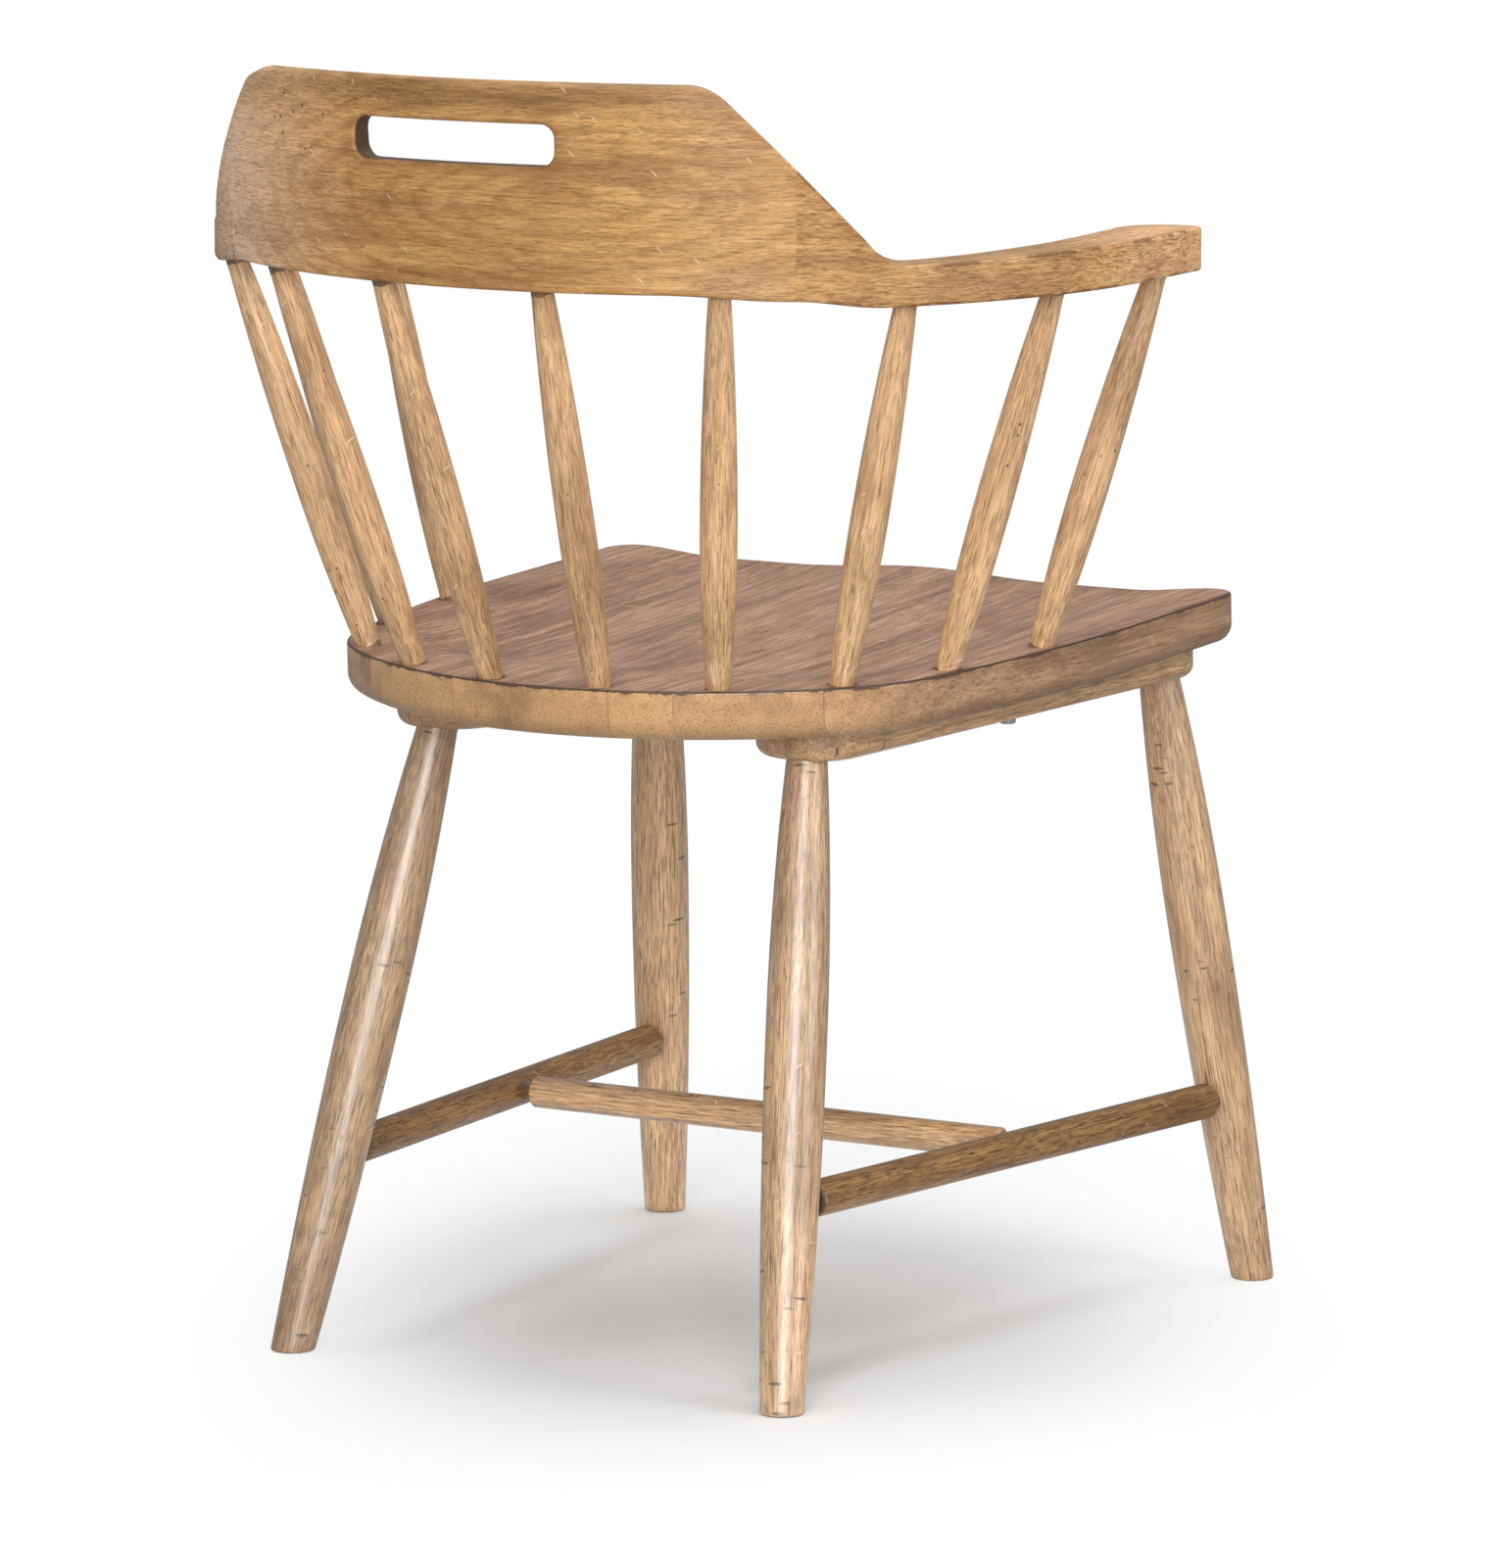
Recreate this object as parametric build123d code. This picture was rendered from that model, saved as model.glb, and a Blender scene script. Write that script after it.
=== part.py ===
from build123d import *
import os
from math import asin, cos, radians, sin, tan

# Low-back armchair in solid wood: a saddled plank seat on two cleats, four splayed turned legs with
# an H stretcher, and ten turned spindles that carry a curved crest board with two arms.
# Millimetres, +Z up, the sitter faces -Y and sits on the mirror plane X = 0.
# Places are measured from the floor point midway between the feet.

# Fits
FIT = 0.1                      # radial clearance of a glued tenon, dowel or screw in its hole
HOLE_END = 0.4                 # space left at the bottom of a blind hole

# Seat plank, in the plane of its top face
SEAT_HEIGHT = 450.0            # top face above the floor, midway between front and rear feet
SEAT_TILT = 2.7                # degrees, front edge up
SEAT_THICKNESS = 32.0
SEAT_REAR_Y = 262.0            # rearmost point of the outline
SEAT_FRONT_Y = -221.0
SEAT_REAR_RADIUS = 266.0
SEAT_REAR_SWEEP = 42.0         # degrees of the rear arc on each side
SEAT_CORNER_RADIUS = 110.0
SEAT_CORNER_SWEEP = 35.0
SEAT_SIDE_RADIUS = 975.0
SEAT_FRONT_RADIUS = 20.0
SEAT_TOP_EASE = 1.2            # eased arris round the top
SEAT_BOTTOM_ROUND = 12.0
SEAT_SEAMS = (-172.0, -92.0, -52.0, 64.0, 150.0)   # glue lines between the boards

# Saddle: hollows for the thighs either side of a middle ridge
SADDLE_RIM = 30.0              # flat rim kept at the sides
SADDLE_REAR_RIM = 60.0         # and at the back
SADDLE_HOLLOW_X = 98.0         # middle of each hollow
SADDLE_RISE = 1.5              # the hollow's edge rises this far past the rim
SADDLE_STATIONS = (            # Y, width against the full width, depth of the hollows and of the ridge
    (SEAT_REAR_Y - SADDLE_REAR_RIM, 0.62, 0.4, 0.4),
    (136.0, 0.9, 9.4, 8.2),
    (70.0, 1.0, 11.0, 7.5),
    (-75.0, 1.04, 8.8, 2.8),
    (SEAT_FRONT_Y, 1.04, 4.5, 0.0),
    (SEAT_FRONT_Y - SADDLE_RIM, 1.04, 3.3, 0.0),
)

# Cleats under the seat
CLEAT_WIDTH = 75.0
CLEAT_THICKNESS = 17.0
CLEAT_OFFSET = 5.5             # cleat middle inboard of the line through the leg tops
CLEAT_REAR_OVERHANG = 18.5     # past the leg's middle
CLEAT_FRONT_OVERHANG = 17.5
CLEAT_CORNER = 32.0            # rounded in plan
CLEAT_ROUND = 8.0              # rounded lower edge
SCREW_RADIUS = 2.25
SCREW_LENGTH = 29.0
SCREW_HEAD_RADIUS = 5.0
SCREW_HEAD_HEIGHT = 4.0
SCREW_HEAD_ROUND = 1.2
SCREW_SPACING = 105.0          # middle screw to an end screw
SCREW_STAGGER = 23.0           # middle screw outboard, end screws inboard of the cleat's middle

# Legs: feet on the floor, tops on the cleats' underside in the seat's plan
REAR_FOOT = (180.8, 261.3)
FRONT_FOOT = (226.9, -261.3)
REAR_LEG_TOP = (135.9, 160.3)
FRONT_LEG_TOP = (190.8, -189.3)
LEG_FOOT_RADIUS = 13.2
LEG_BELLY_RADIUS = 19.2
LEG_TOP_RADIUS = 13.0
LEG_BELLY_DROP = 172.0         # belly below the cleat, along the leg
LEG_TENON = 29.0               # into cleat and seat
LEG_STRAIGHT = 6.0             # the top stays straight this far below the cleat
LEG_FOOT_ROUND = 1.8
LEG_SPARE = 12.0               # turned on below the floor, cut off level

# Stretchers
STRETCHER_HEIGHT = 123.3
SIDE_RADIUS = 11.5
SIDE_TENON_RADIUS = 7.5
SIDE_TENON = 21.0              # into the leg, from its surface
SIDE_END_ROUND = 3.9
SIDE_GAP = 0.6                 # side stretcher's shoulder to the nearest point of the leg
CROSS_RADIUS = 10.3
CROSS_TENON_RADIUS = 6.6
CROSS_TENON = 12.0
CROSS_NECK = 3.0               # bare tenon between the side stretcher and the cross stretcher's end
CROSS_Y = -18.0

# Rail line: plan curve that the spindle tops follow
RAIL_REAR_Y = 344.0
RAIL_REAR_RADIUS = 310.0
RAIL_REAR_SWEEP = 39.0         # degrees to the seam between crest board and arm
RAIL_CORNER_RADIUS = 250.6

# Crest board
CREST_STEP = 6.5               # underside above the arms' underside
CREST_HEIGHT = 127.0
CREST_THICKNESS = 26.0
CREST_TOP_THICKNESS = 18.0
CREST_TOP_ROUND = 8.0
CREST_BOTTOM_ROUND = 2.5
SLOT_WIDTH = 143.0
SLOT_HEIGHT = 25.5
SLOT_RADIUS = 9.0
SLOT_DROP = 38.2               # slot's middle below the crest's top
SHOULDER_DROP = 51.0           # sloping shoulder below the crest's top, at the seam
SHOULDER_SLOPE = 45.0          # degrees
SHOULDER_TOP_ROUND = 32.0
SHOULDER_BOTTOM_ROUND = 28.0
SHOULDER_LIFT = 0.05           # the rounding starts this far above the crest's top

# Arms
ARM_BOTTOM = 684.5             # underside above the floor
ARM_THICKNESS = 27.0
ARM_OUTER_X = 315.0
ARM_INNER_X = 270.0
ARM_FRONT_Y = -26.0
ARM_FLARE = 7.0                # inner edge moves inboard towards the front
ARM_INNER_ROUND = 30.0         # front corners in plan
ARM_OUTER_ROUND = 11.0
ARM_EDGE_ROUND = 2.0
ARM_RAMP = 58.0                # the underside rises over this length to the crest board's

# Dowels in the joints between crest board and arms
DOWEL_RADIUS = 5.0
DOWEL_LENGTH = 44.0
DOWEL_RISES = (15.0, 50.0)     # above the crest board's underside

# Spindles: distance along the seat's spindle line and along the rail line, from the middle outwards
SPINDLE_INSET = 12.0           # spindle line inside the seat's outline
SPINDLE_FEET = (39.7, 115.5, 192.0, 274.0, 369.0)
SPINDLE_TOPS = (57.5, 167.0, 282.5, 398.0, 522.0)
SPINDLE_FOOT_RADIUS = 8.0
SPINDLE_BELLY_RADIUS = 11.6
SPINDLE_TOP_RADIUS = 7.1
SPINDLE_BELLY_RISE = 105.0     # belly above the seat, along the spindle
SPINDLE_FOOT_TENON = 20.0
SPINDLE_TOP_TENON = 17.0
SPINDLE_STRAIGHT = 4.0         # the ends stay straight this far outside their holes

ARM_TOP = ARM_BOTTOM + ARM_THICKNESS
CREST_BOTTOM = ARM_BOTTOM + CREST_STEP
CREST_TOP = CREST_BOTTOM + CREST_HEIGHT
REACH = 600.0                  # cutting tools run past the part by this much
PARALLEL = 0.99                # cosine above which two directions count as parallel
SIDES = (("left", 1), ("right", -1))

seat_plane = Plane(
    (0, 0, SEAT_HEIGHT), x_dir=(1, 0, 0), z_dir=(0, sin(radians(SEAT_TILT)), cos(radians(SEAT_TILT)))
)


def seat_point(x, y, z=0.0):
    """Chair coordinates of a point given in the seat's plane."""
    return seat_plane.from_local_coords(Vector(x, y, z))


def arc_chain(start, arcs):
    """Tangent arcs that leave start along +X and turn towards -Y; arcs are (radius, degrees)."""
    edges = [JernArc(start, (1, 0), arcs[0][0], -arcs[0][1])]
    for radius, sweep in arcs[1:]:
        edges.append(JernArc(edges[-1] @ 1, edges[-1] % 1, radius, -sweep))
    return edges


def turned(profile_edges):
    """Solid turned about +Z from edges in the XZ plane that start and end on the axis."""
    return revolve(Plane.XZ * make_face(profile_edges), Axis.Z)


def rod(radius, start, end):
    """Plain round bar between two points."""
    start, end = Vector(*start), Vector(*end)
    return Plane(start, z_dir=end - start) * extrude(Circle(radius), (end - start).length)


def along(start, end):
    """Plane at start with +Z towards end, and the distance between them."""
    start, end = Vector(*start), Vector(*end)
    return Plane(start, z_dir=end - start), (end - start).length


def mirrored(point, side):
    return Vector(point.X * side, point.Y, point.Z)


def spindle_blank(length):
    """Turned spindle with its visible foot at the origin and its visible top at length."""
    bottom, top = -SPINDLE_FOOT_TENON, length + SPINDLE_TOP_TENON
    belly = (SPINDLE_BELLY_RADIUS, SPINDLE_BELLY_RISE)
    return turned([
        Line((0, bottom), (SPINDLE_FOOT_RADIUS, bottom)),
        Line((SPINDLE_FOOT_RADIUS, bottom), (SPINDLE_FOOT_RADIUS, SPINDLE_STRAIGHT)),
        TangentArc(belly, (SPINDLE_FOOT_RADIUS, SPINDLE_STRAIGHT), tangent=(0, -1)),
        TangentArc(belly, (SPINDLE_TOP_RADIUS, length - SPINDLE_STRAIGHT), tangent=(0, 1)),
        Line((SPINDLE_TOP_RADIUS, length - SPINDLE_STRAIGHT), (SPINDLE_TOP_RADIUS, top)),
        Line((SPINDLE_TOP_RADIUS, top), (0, top)),
        Line((0, top), (0, bottom)),
    ])


def spindle_hole(length):
    """Room for both ends of a spindle in the seat and the rail."""
    foot_end = -SPINDLE_FOOT_TENON - HOLE_END
    top_end = length + SPINDLE_TOP_TENON + HOLE_END
    foot = rod(SPINDLE_FOOT_RADIUS + FIT, (0, 0, foot_end), (0, 0, SPINDLE_FOOT_RADIUS))
    top = rod(SPINDLE_TOP_RADIUS + FIT, (0, 0, length - SPINDLE_TOP_RADIUS), (0, 0, top_end))
    return foot + top


def leg_radius(length, height):
    """Radius of the turned leg between its foot and its belly."""
    belly = length - LEG_BELLY_DROP
    share = (height - belly) / (-LEG_SPARE - belly)
    return LEG_BELLY_RADIUS - (LEG_BELLY_RADIUS - LEG_FOOT_RADIUS) * share ** 2


def leg_blank(length):
    """Turned leg, its foot centre at the origin, long enough below to be cut off level."""
    belly = (LEG_BELLY_RADIUS, length - LEG_BELLY_DROP)
    top = length + LEG_TENON
    return turned([
        Line((0, -LEG_SPARE), (LEG_FOOT_RADIUS, -LEG_SPARE)),
        TangentArc(belly, (LEG_FOOT_RADIUS, -LEG_SPARE), tangent=(0, -1)),
        TangentArc(belly, (LEG_TOP_RADIUS, length - LEG_STRAIGHT), tangent=(0, 1)),
        Line((LEG_TOP_RADIUS, length - LEG_STRAIGHT), (LEG_TOP_RADIUS, top)),
        Line((LEG_TOP_RADIUS, top), (0, top)),
        Line((0, top), (0, -LEG_SPARE)),
    ])


def stretcher_section(length, radius, tenon_radius, shoulders, corner):
    """Half section of a stretcher: round tenons at both ends, body between the shoulders."""
    first, last = shoulders[0], length - shoulders[1]
    outline = Polyline(
        (0, 0), (tenon_radius, 0), (tenon_radius, first), (radius, first),
        (radius, last), (tenon_radius, last), (tenon_radius, length), (0, length),
        close=True,
    )
    face = make_face(outline)
    return corner(face.vertices().group_by(Axis.X)[-1])


# Seat outline, and the line of the spindles inside it
def seat_half(inset):
    """The +X half of the outline as edges, from the rear middle to the front edge."""
    arcs = arc_chain((0, SEAT_REAR_Y - inset), (
        (SEAT_REAR_RADIUS - inset, SEAT_REAR_SWEEP),
        (SEAT_CORNER_RADIUS - inset, SEAT_CORNER_SWEEP),
        (SEAT_SIDE_RADIUS - inset, 90 - SEAT_REAR_SWEEP - SEAT_CORNER_SWEEP),
    ))
    side_end = arcs[-1] @ 1
    return arcs + [Line(side_end, (side_end.X, SEAT_FRONT_Y + inset))]


def seat_face():
    half = seat_half(0)
    corner = half[-1] @ 1
    edges = half + [Line(corner, (-corner.X, corner.Y))] + [edge.mirror(Plane.YZ) for edge in half]
    face = make_face(edges)
    return fillet(face.vertices().group_by(Axis.Y)[0], SEAT_FRONT_RADIUS)


def saddle_tool(half_width):
    """Loft of W-shaped sections, from the rear rim out over the front edge."""
    sections = []
    for y, width, hollow, ridge in SADDLE_STATIONS:
        edge_x = half_width * width
        hollow_x = SADDLE_HOLLOW_X * width
        half = [(hollow_x, -hollow), (edge_x, SADDLE_RISE)]
        points = [(-x, z) for x, z in reversed(half)] + [(0, -ridge)] + half
        lid = Polyline(points[-1], (edge_x, SEAT_THICKNESS), (-edge_x, SEAT_THICKNESS), points[0])
        section = make_face([Spline(*points), *lid.edges()])
        sections.append(Plane((0, y, 0), x_dir=(1, 0, 0), z_dir=(0, -1, 0)) * section)
    return loft(sections)


def make_seat():
    """Whole plank in its own plane: blank rounded below and eased above, with the saddle hollowed out."""
    blank = extrude(seat_face(), -SEAT_THICKNESS)
    blank = fillet(blank.edges().group_by(Axis.Z)[0], SEAT_BOTTOM_ROUND)
    blank = chamfer(blank.edges().group_by(Axis.Z)[-1], SEAT_TOP_EASE)
    half_width = (seat_half(SADDLE_RIM)[-1] @ 1).X
    return blank - saddle_tool(half_width)


def split_boards(plank):
    """Cuts the plank along the glue lines, left to right by X."""
    limits = (-REACH,) + SEAT_SEAMS + (REACH,)
    boards = []
    for low, high in zip(limits, limits[1:]):
        slab = Pos((low + high) / 2, 0, SEAT_HEIGHT) * Box(high - low, 2 * REACH, SEAT_HEIGHT)
        boards.append(plank & slab)
    return boards


# Cleats and their screws
def cleat_frame(side):
    """Plane on the seat's underside: origin midway between the leg tops, +Y along the cleat to the rear."""
    rear = Vector(REAR_LEG_TOP[0] * side, REAR_LEG_TOP[1])
    front = Vector(FRONT_LEG_TOP[0] * side, FRONT_LEG_TOP[1])
    run = (rear - front).normalized()
    across = Vector(run.Y, -run.X)
    middle = (rear + front) / 2 - across * (CLEAT_OFFSET * side)
    local = Plane((middle.X, middle.Y, -SEAT_THICKNESS), x_dir=(across.X, across.Y, 0), z_dir=(0, 0, 1))
    return seat_plane.location * local, (rear - front).length


def make_cleat(side):
    frame, span = cleat_frame(side)
    rear_end = span / 2 + CLEAT_REAR_OVERHANG
    front_end = -span / 2 - CLEAT_FRONT_OVERHANG
    plan = RectangleRounded(CLEAT_WIDTH, rear_end - front_end, CLEAT_CORNER)
    body = extrude(Pos(0, (rear_end + front_end) / 2) * plan, -CLEAT_THICKNESS)
    body = fillet(body.edges().group_by(Axis.Z)[0], CLEAT_ROUND)
    return frame * body


def screw_places(side):
    """Screw axes: the middle one outboard, the end ones inboard."""
    frame, _ = cleat_frame(side)
    stops = ((0, 1), (SCREW_SPACING, -1), (-SCREW_SPACING, -1))
    return [frame * Plane((SCREW_STAGGER * out * side, y, -CLEAT_THICKNESS)) for y, out in stops]


def make_screw():
    """Pan-head screw, its head under the origin and its shank along +Z."""
    head = Pos(0, 0, -SCREW_HEAD_HEIGHT / 2) * Cylinder(SCREW_HEAD_RADIUS, SCREW_HEAD_HEIGHT)
    head = fillet(head.edges().group_by(Axis.Z)[0], SCREW_HEAD_ROUND)
    return head + rod(SCREW_RADIUS, (0, 0, 0), (0, 0, SCREW_LENGTH))


# Rail: crest board and arms
def rail_line():
    """The +X half of the plan line of the spindle tops, from the rear middle to the arm's front."""
    arcs = arc_chain((0, RAIL_REAR_Y), (
        (RAIL_REAR_RADIUS, RAIL_REAR_SWEEP),
        (RAIL_CORNER_RADIUS, 90 - RAIL_REAR_SWEEP),
    ))
    corner_end = arcs[-1] @ 1
    return Wire(arcs + [Line(corner_end, (corner_end.X, ARM_FRONT_Y))])


rail_centre = Vector(0, RAIL_REAR_Y - RAIL_REAR_RADIUS)
seam_along = Vector(cos(radians(RAIL_REAR_SWEEP)), -sin(radians(RAIL_REAR_SWEEP)))
seam_outward = Vector(sin(radians(RAIL_REAR_SWEEP)), cos(radians(RAIL_REAR_SWEEP)))
seam_middle = rail_centre + seam_outward * RAIL_REAR_RADIUS


def seam_plane():
    """Upright plane across the face of the left seam: +X along the rail to the front, +Y up."""
    return Plane(seam_middle, x_dir=seam_along, z_dir=-seam_outward)


def across_seam(face, depth):
    """Solid from a face drawn on the seam plane, depth to either side of it."""
    return extrude(seam_plane().offset(-depth) * face, 2 * depth)


def shoulder_tool():
    """Everything above the crest's top, its sloping shoulder and the arm's top, on the left."""
    seam_z = CREST_TOP - SHOULDER_DROP
    half_turn = tan(radians(SHOULDER_SLOPE / 2))
    slope = tan(radians(SHOULDER_SLOPE))
    level = CREST_TOP + SHOULDER_LIFT
    top_start = ((seam_z - level) / slope - SHOULDER_TOP_ROUND * half_turn, level)
    bottom_end = ((seam_z - ARM_TOP) / slope + SHOULDER_BOTTOM_ROUND * half_turn, ARM_TOP)
    top_arc = JernArc(top_start, (1, 0), SHOULDER_TOP_ROUND, -SHOULDER_SLOPE)
    bottom_arc = JernArc(bottom_end, (-1, 0), SHOULDER_BOTTOM_ROUND, -SHOULDER_SLOPE)
    face = make_face([
        top_arc,
        Line(top_arc @ 1, bottom_arc @ 1),
        bottom_arc,
        *Polyline(
            bottom_end, (REACH, ARM_TOP), (REACH, REACH + level), (top_start[0], REACH + level), top_start
        ).edges(),
    ])
    return across_seam(face, REACH / 2)


def crest_section():
    """Upright section: outer face plumb, inner face leaning back above the arms."""
    outer = RAIL_REAR_RADIUS + CREST_THICKNESS / 2
    inner = outer - CREST_THICKNESS
    inner_top = outer - CREST_TOP_THICKNESS
    face = make_face([
        *Polyline(
            (inner, ARM_TOP), (inner, CREST_BOTTOM), (outer, CREST_BOTTOM), (outer, CREST_TOP),
            (inner_top, CREST_TOP),
        ).edges(),
        TangentArc((inner, ARM_TOP), (inner_top, CREST_TOP), tangent=(0, 1)),
    ])
    face = fillet(face.vertices().group_by(Axis.Y)[-1], CREST_TOP_ROUND)
    return fillet(face.vertices().group_by(Axis.Y)[0], CREST_BOTTOM_ROUND)


def make_crest():
    section = Plane.XZ * crest_section()
    ring = revolve(section, Axis.Z, 2 * RAIL_REAR_SWEEP)
    board = Pos(rail_centre.X, rail_centre.Y) * Rot(0, 0, 90 - RAIL_REAR_SWEEP) * ring
    slot = Pos(0, CREST_TOP - SLOT_DROP) * RectangleRounded(SLOT_WIDTH, SLOT_HEIGHT, SLOT_RADIUS)
    board -= Pos(0, RAIL_REAR_Y) * extrude(Plane.XZ * slot, CREST_THICKNESS * 2, both=True)
    shoulder = shoulder_tool()
    return board - shoulder - shoulder.mirror(Plane.YZ)


def arm_edge(rear_radius, end_x):
    """Arc that carries a crest-board edge on from the seam to the straight part of the arm."""
    start = rail_centre + seam_outward * rear_radius
    radius = (end_x - start.X) / (1 - sin(radians(RAIL_REAR_SWEEP)))
    return JernArc(start, seam_along, radius, RAIL_REAR_SWEEP - 90)


def arm_plan():
    outer = arm_edge(RAIL_REAR_RADIUS + CREST_THICKNESS / 2, ARM_OUTER_X)
    inner = arm_edge(RAIL_REAR_RADIUS - CREST_THICKNESS / 2, ARM_INNER_X)
    outer_end, inner_end = outer @ 1, inner @ 1
    tip_inner = Vector(ARM_INNER_X - ARM_FLARE, ARM_FRONT_Y)
    tip_outer = Vector(ARM_OUTER_X, ARM_FRONT_Y)
    face = make_face([
        outer,
        Line(outer_end, tip_outer),
        Line(tip_outer, tip_inner),
        TangentArc(inner_end, tip_inner, tangent=(0, -1)),
        inner,
        Line(inner @ 0, outer @ 0),
    ])
    face = fillet(face.vertices().sort_by_distance(tip_inner)[0], ARM_INNER_ROUND)
    face = fillet(face.vertices().sort_by_distance(tip_outer)[0], ARM_OUTER_ROUND)
    return face, inner


def ramp_tool():
    """What is cut away where the arm's underside rises to the crest board's."""
    start, end = (0, CREST_BOTTOM), (ARM_RAMP, ARM_BOTTOM)
    before = -CREST_THICKNESS
    face = make_face([
        Spline(start, end, tangents=[(1, 0), (1, 0)]),
        *Polyline(end, (ARM_RAMP, 0), (before, 0), (before, CREST_BOTTOM), start).edges(),
    ])
    return across_seam(face, 2 * CREST_THICKNESS)


def batter_tool(inner):
    """Leans the riser's inner face back like the crest board's."""
    foot = (inner.radius, ARM_TOP)
    head = (inner.radius + CREST_THICKNESS - CREST_TOP_THICKNESS, CREST_TOP)
    bell = turned([
        Line((0, ARM_TOP), foot),
        TangentArc(foot, head, tangent=(0, 1)),
        Line(head, (0, CREST_TOP)),
        Line((0, CREST_TOP), (0, ARM_TOP)),
    ])
    return Pos(inner.arc_center.X, inner.arc_center.Y) * bell


def is_arm_edge(edge):
    """Edges along the arm's level top and underside; the rounding runs on up the shoulder by itself."""
    middle, direction = edge @ 0.5, edge % 0.5
    in_riser = middle.Z > ARM_TOP + FIT
    riser_foot = middle.Z > CREST_BOTTOM and abs((edge @ 0 - seam_middle).dot(seam_along)) < FIT
    upright = abs(direction.Z) > PARALLEL
    crossing = edge.geom_type == GeomType.LINE and abs(direction.dot(seam_outward)) > PARALLEL
    return not (in_riser or riser_foot or upright or crossing)


def make_arm():
    """Left arm with its riser; the right one is its mirror image."""
    plan, inner = arm_plan()
    blank = Pos(0, 0, ARM_BOTTOM) * extrude(plan, CREST_TOP - ARM_BOTTOM)
    arm = blank - shoulder_tool() - ramp_tool() - batter_tool(inner)
    return fillet(arm.edges().filter_by(is_arm_edge), ARM_EDGE_ROUND)


def dowel_ends(height):
    """Both ends of a dowel across the left seam."""
    middle = Vector(seam_middle.X, seam_middle.Y, height)
    return middle - seam_along * (DOWEL_LENGTH / 2), middle + seam_along * (DOWEL_LENGTH / 2)


def dowel_hole(height):
    start, end = dowel_ends(height)
    return rod(DOWEL_RADIUS + FIT, start - seam_along * HOLE_END, end + seam_along * HOLE_END)


# Assembly
pieces = {}
seat = seat_plane * make_seat()
cleats = {name: make_cleat(side) for name, side in SIDES}
crest = make_crest()
left_arm = make_arm()
arms = {"left": left_arm, "right": left_arm.mirror(Plane.YZ)}

# Spindles, with their holes in seat and rail
spindle_line = Wire(seat_half(SPINDLE_INSET))
top_line = rail_line()
seam_length = radians(RAIL_REAR_SWEEP) * RAIL_REAR_RADIUS
for number, (foot_run, top_run) in enumerate(zip(SPINDLE_FEET, SPINDLE_TOPS), 1):
    foot_place = spindle_line.position_at(foot_run, PositionMode.LENGTH)
    top_place = top_line.position_at(top_run, PositionMode.LENGTH)
    in_crest = top_run < seam_length
    foot = seat_point(foot_place.X, foot_place.Y)
    top = Vector(top_place.X, top_place.Y, CREST_BOTTOM if in_crest else ARM_BOTTOM)
    for name, side in SIDES:
        plane, length = along(mirrored(foot, side), mirrored(top, side))
        pieces[f"spindle_{name}_{number}"] = plane * spindle_blank(length)
        hole = plane * spindle_hole(length)
        seat -= hole
        if in_crest:
            crest -= hole
        else:
            arms[name] -= hole

# Legs, with their sockets through the cleats into the seat
floor_cut = Pos(0, 0, -REACH / 2) * Box(2 * REACH, 2 * REACH, REACH)
leg_lines = {}
for end, foot_place, top_place in (
    ("rear", REAR_FOOT, REAR_LEG_TOP),
    ("front", FRONT_FOOT, FRONT_LEG_TOP),
):
    top = seat_point(*top_place, -SEAT_THICKNESS - CLEAT_THICKNESS)
    for name, side in SIDES:
        foot_at = Vector(foot_place[0] * side, foot_place[1], 0)
        top_at = mirrored(top, side)
        plane, length = along(foot_at, top_at)
        leg = plane * leg_blank(length) - floor_cut
        leg = fillet(leg.edges().group_by(Axis.Z)[0], LEG_FOOT_ROUND)
        pieces[f"leg_{end}_{name}"] = leg
        leg_lines[end, name] = (foot_at, top_at)
        socket = plane * rod(
            LEG_TOP_RADIUS + FIT, (0, 0, length - LEG_TOP_RADIUS), (0, 0, length + LEG_TENON + HOLE_END)
        )
        cleats[name] -= socket
        seat -= socket


def leg_joint(end, name):
    """Point of a leg's axis at stretcher height, the axis, and the leg's radius there."""
    foot_at, top_at = leg_lines[end, name]
    share = STRETCHER_HEIGHT / (top_at.Z - foot_at.Z)
    span = (top_at - foot_at).length
    return foot_at + (top_at - foot_at) * share, (top_at - foot_at) / span, leg_radius(span, share * span)


def leg_clearance(run, axis, radius):
    """Distance from a leg's axis to a stretcher's square shoulder that just clears the leg."""
    lean = asin(abs(run.dot(axis)))
    return radius / cos(lean) + SIDE_TENON_RADIUS * tan(lean) + SIDE_GAP


# Side stretchers between the legs
side_lines = {}
for name, side in SIDES:
    rear, rear_axis, rear_radius = leg_joint("rear", name)
    front, front_axis, front_radius = leg_joint("front", name)
    run = (front - rear).normalized()
    start = rear + run * (rear_radius - SIDE_TENON)
    stop = front - run * (front_radius - SIDE_TENON)
    plane, length = along(start, stop)
    shoulders = (
        SIDE_TENON - rear_radius + leg_clearance(run, rear_axis, rear_radius),
        SIDE_TENON - front_radius + leg_clearance(run, front_axis, front_radius),
    )
    section = stretcher_section(
        length, SIDE_RADIUS, SIDE_TENON_RADIUS, shoulders, lambda corners: fillet(corners, SIDE_END_ROUND)
    )
    pieces[f"side_stretcher_{name}"] = plane * revolve(Plane.XZ * section, Axis.Z)
    side_lines[name] = (rear, run)
    hole = rod(SIDE_TENON_RADIUS + FIT, start - run * HOLE_END, stop + run * HOLE_END)
    for end in ("rear", "front"):
        pieces[f"leg_{end}_{name}"] -= hole

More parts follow.
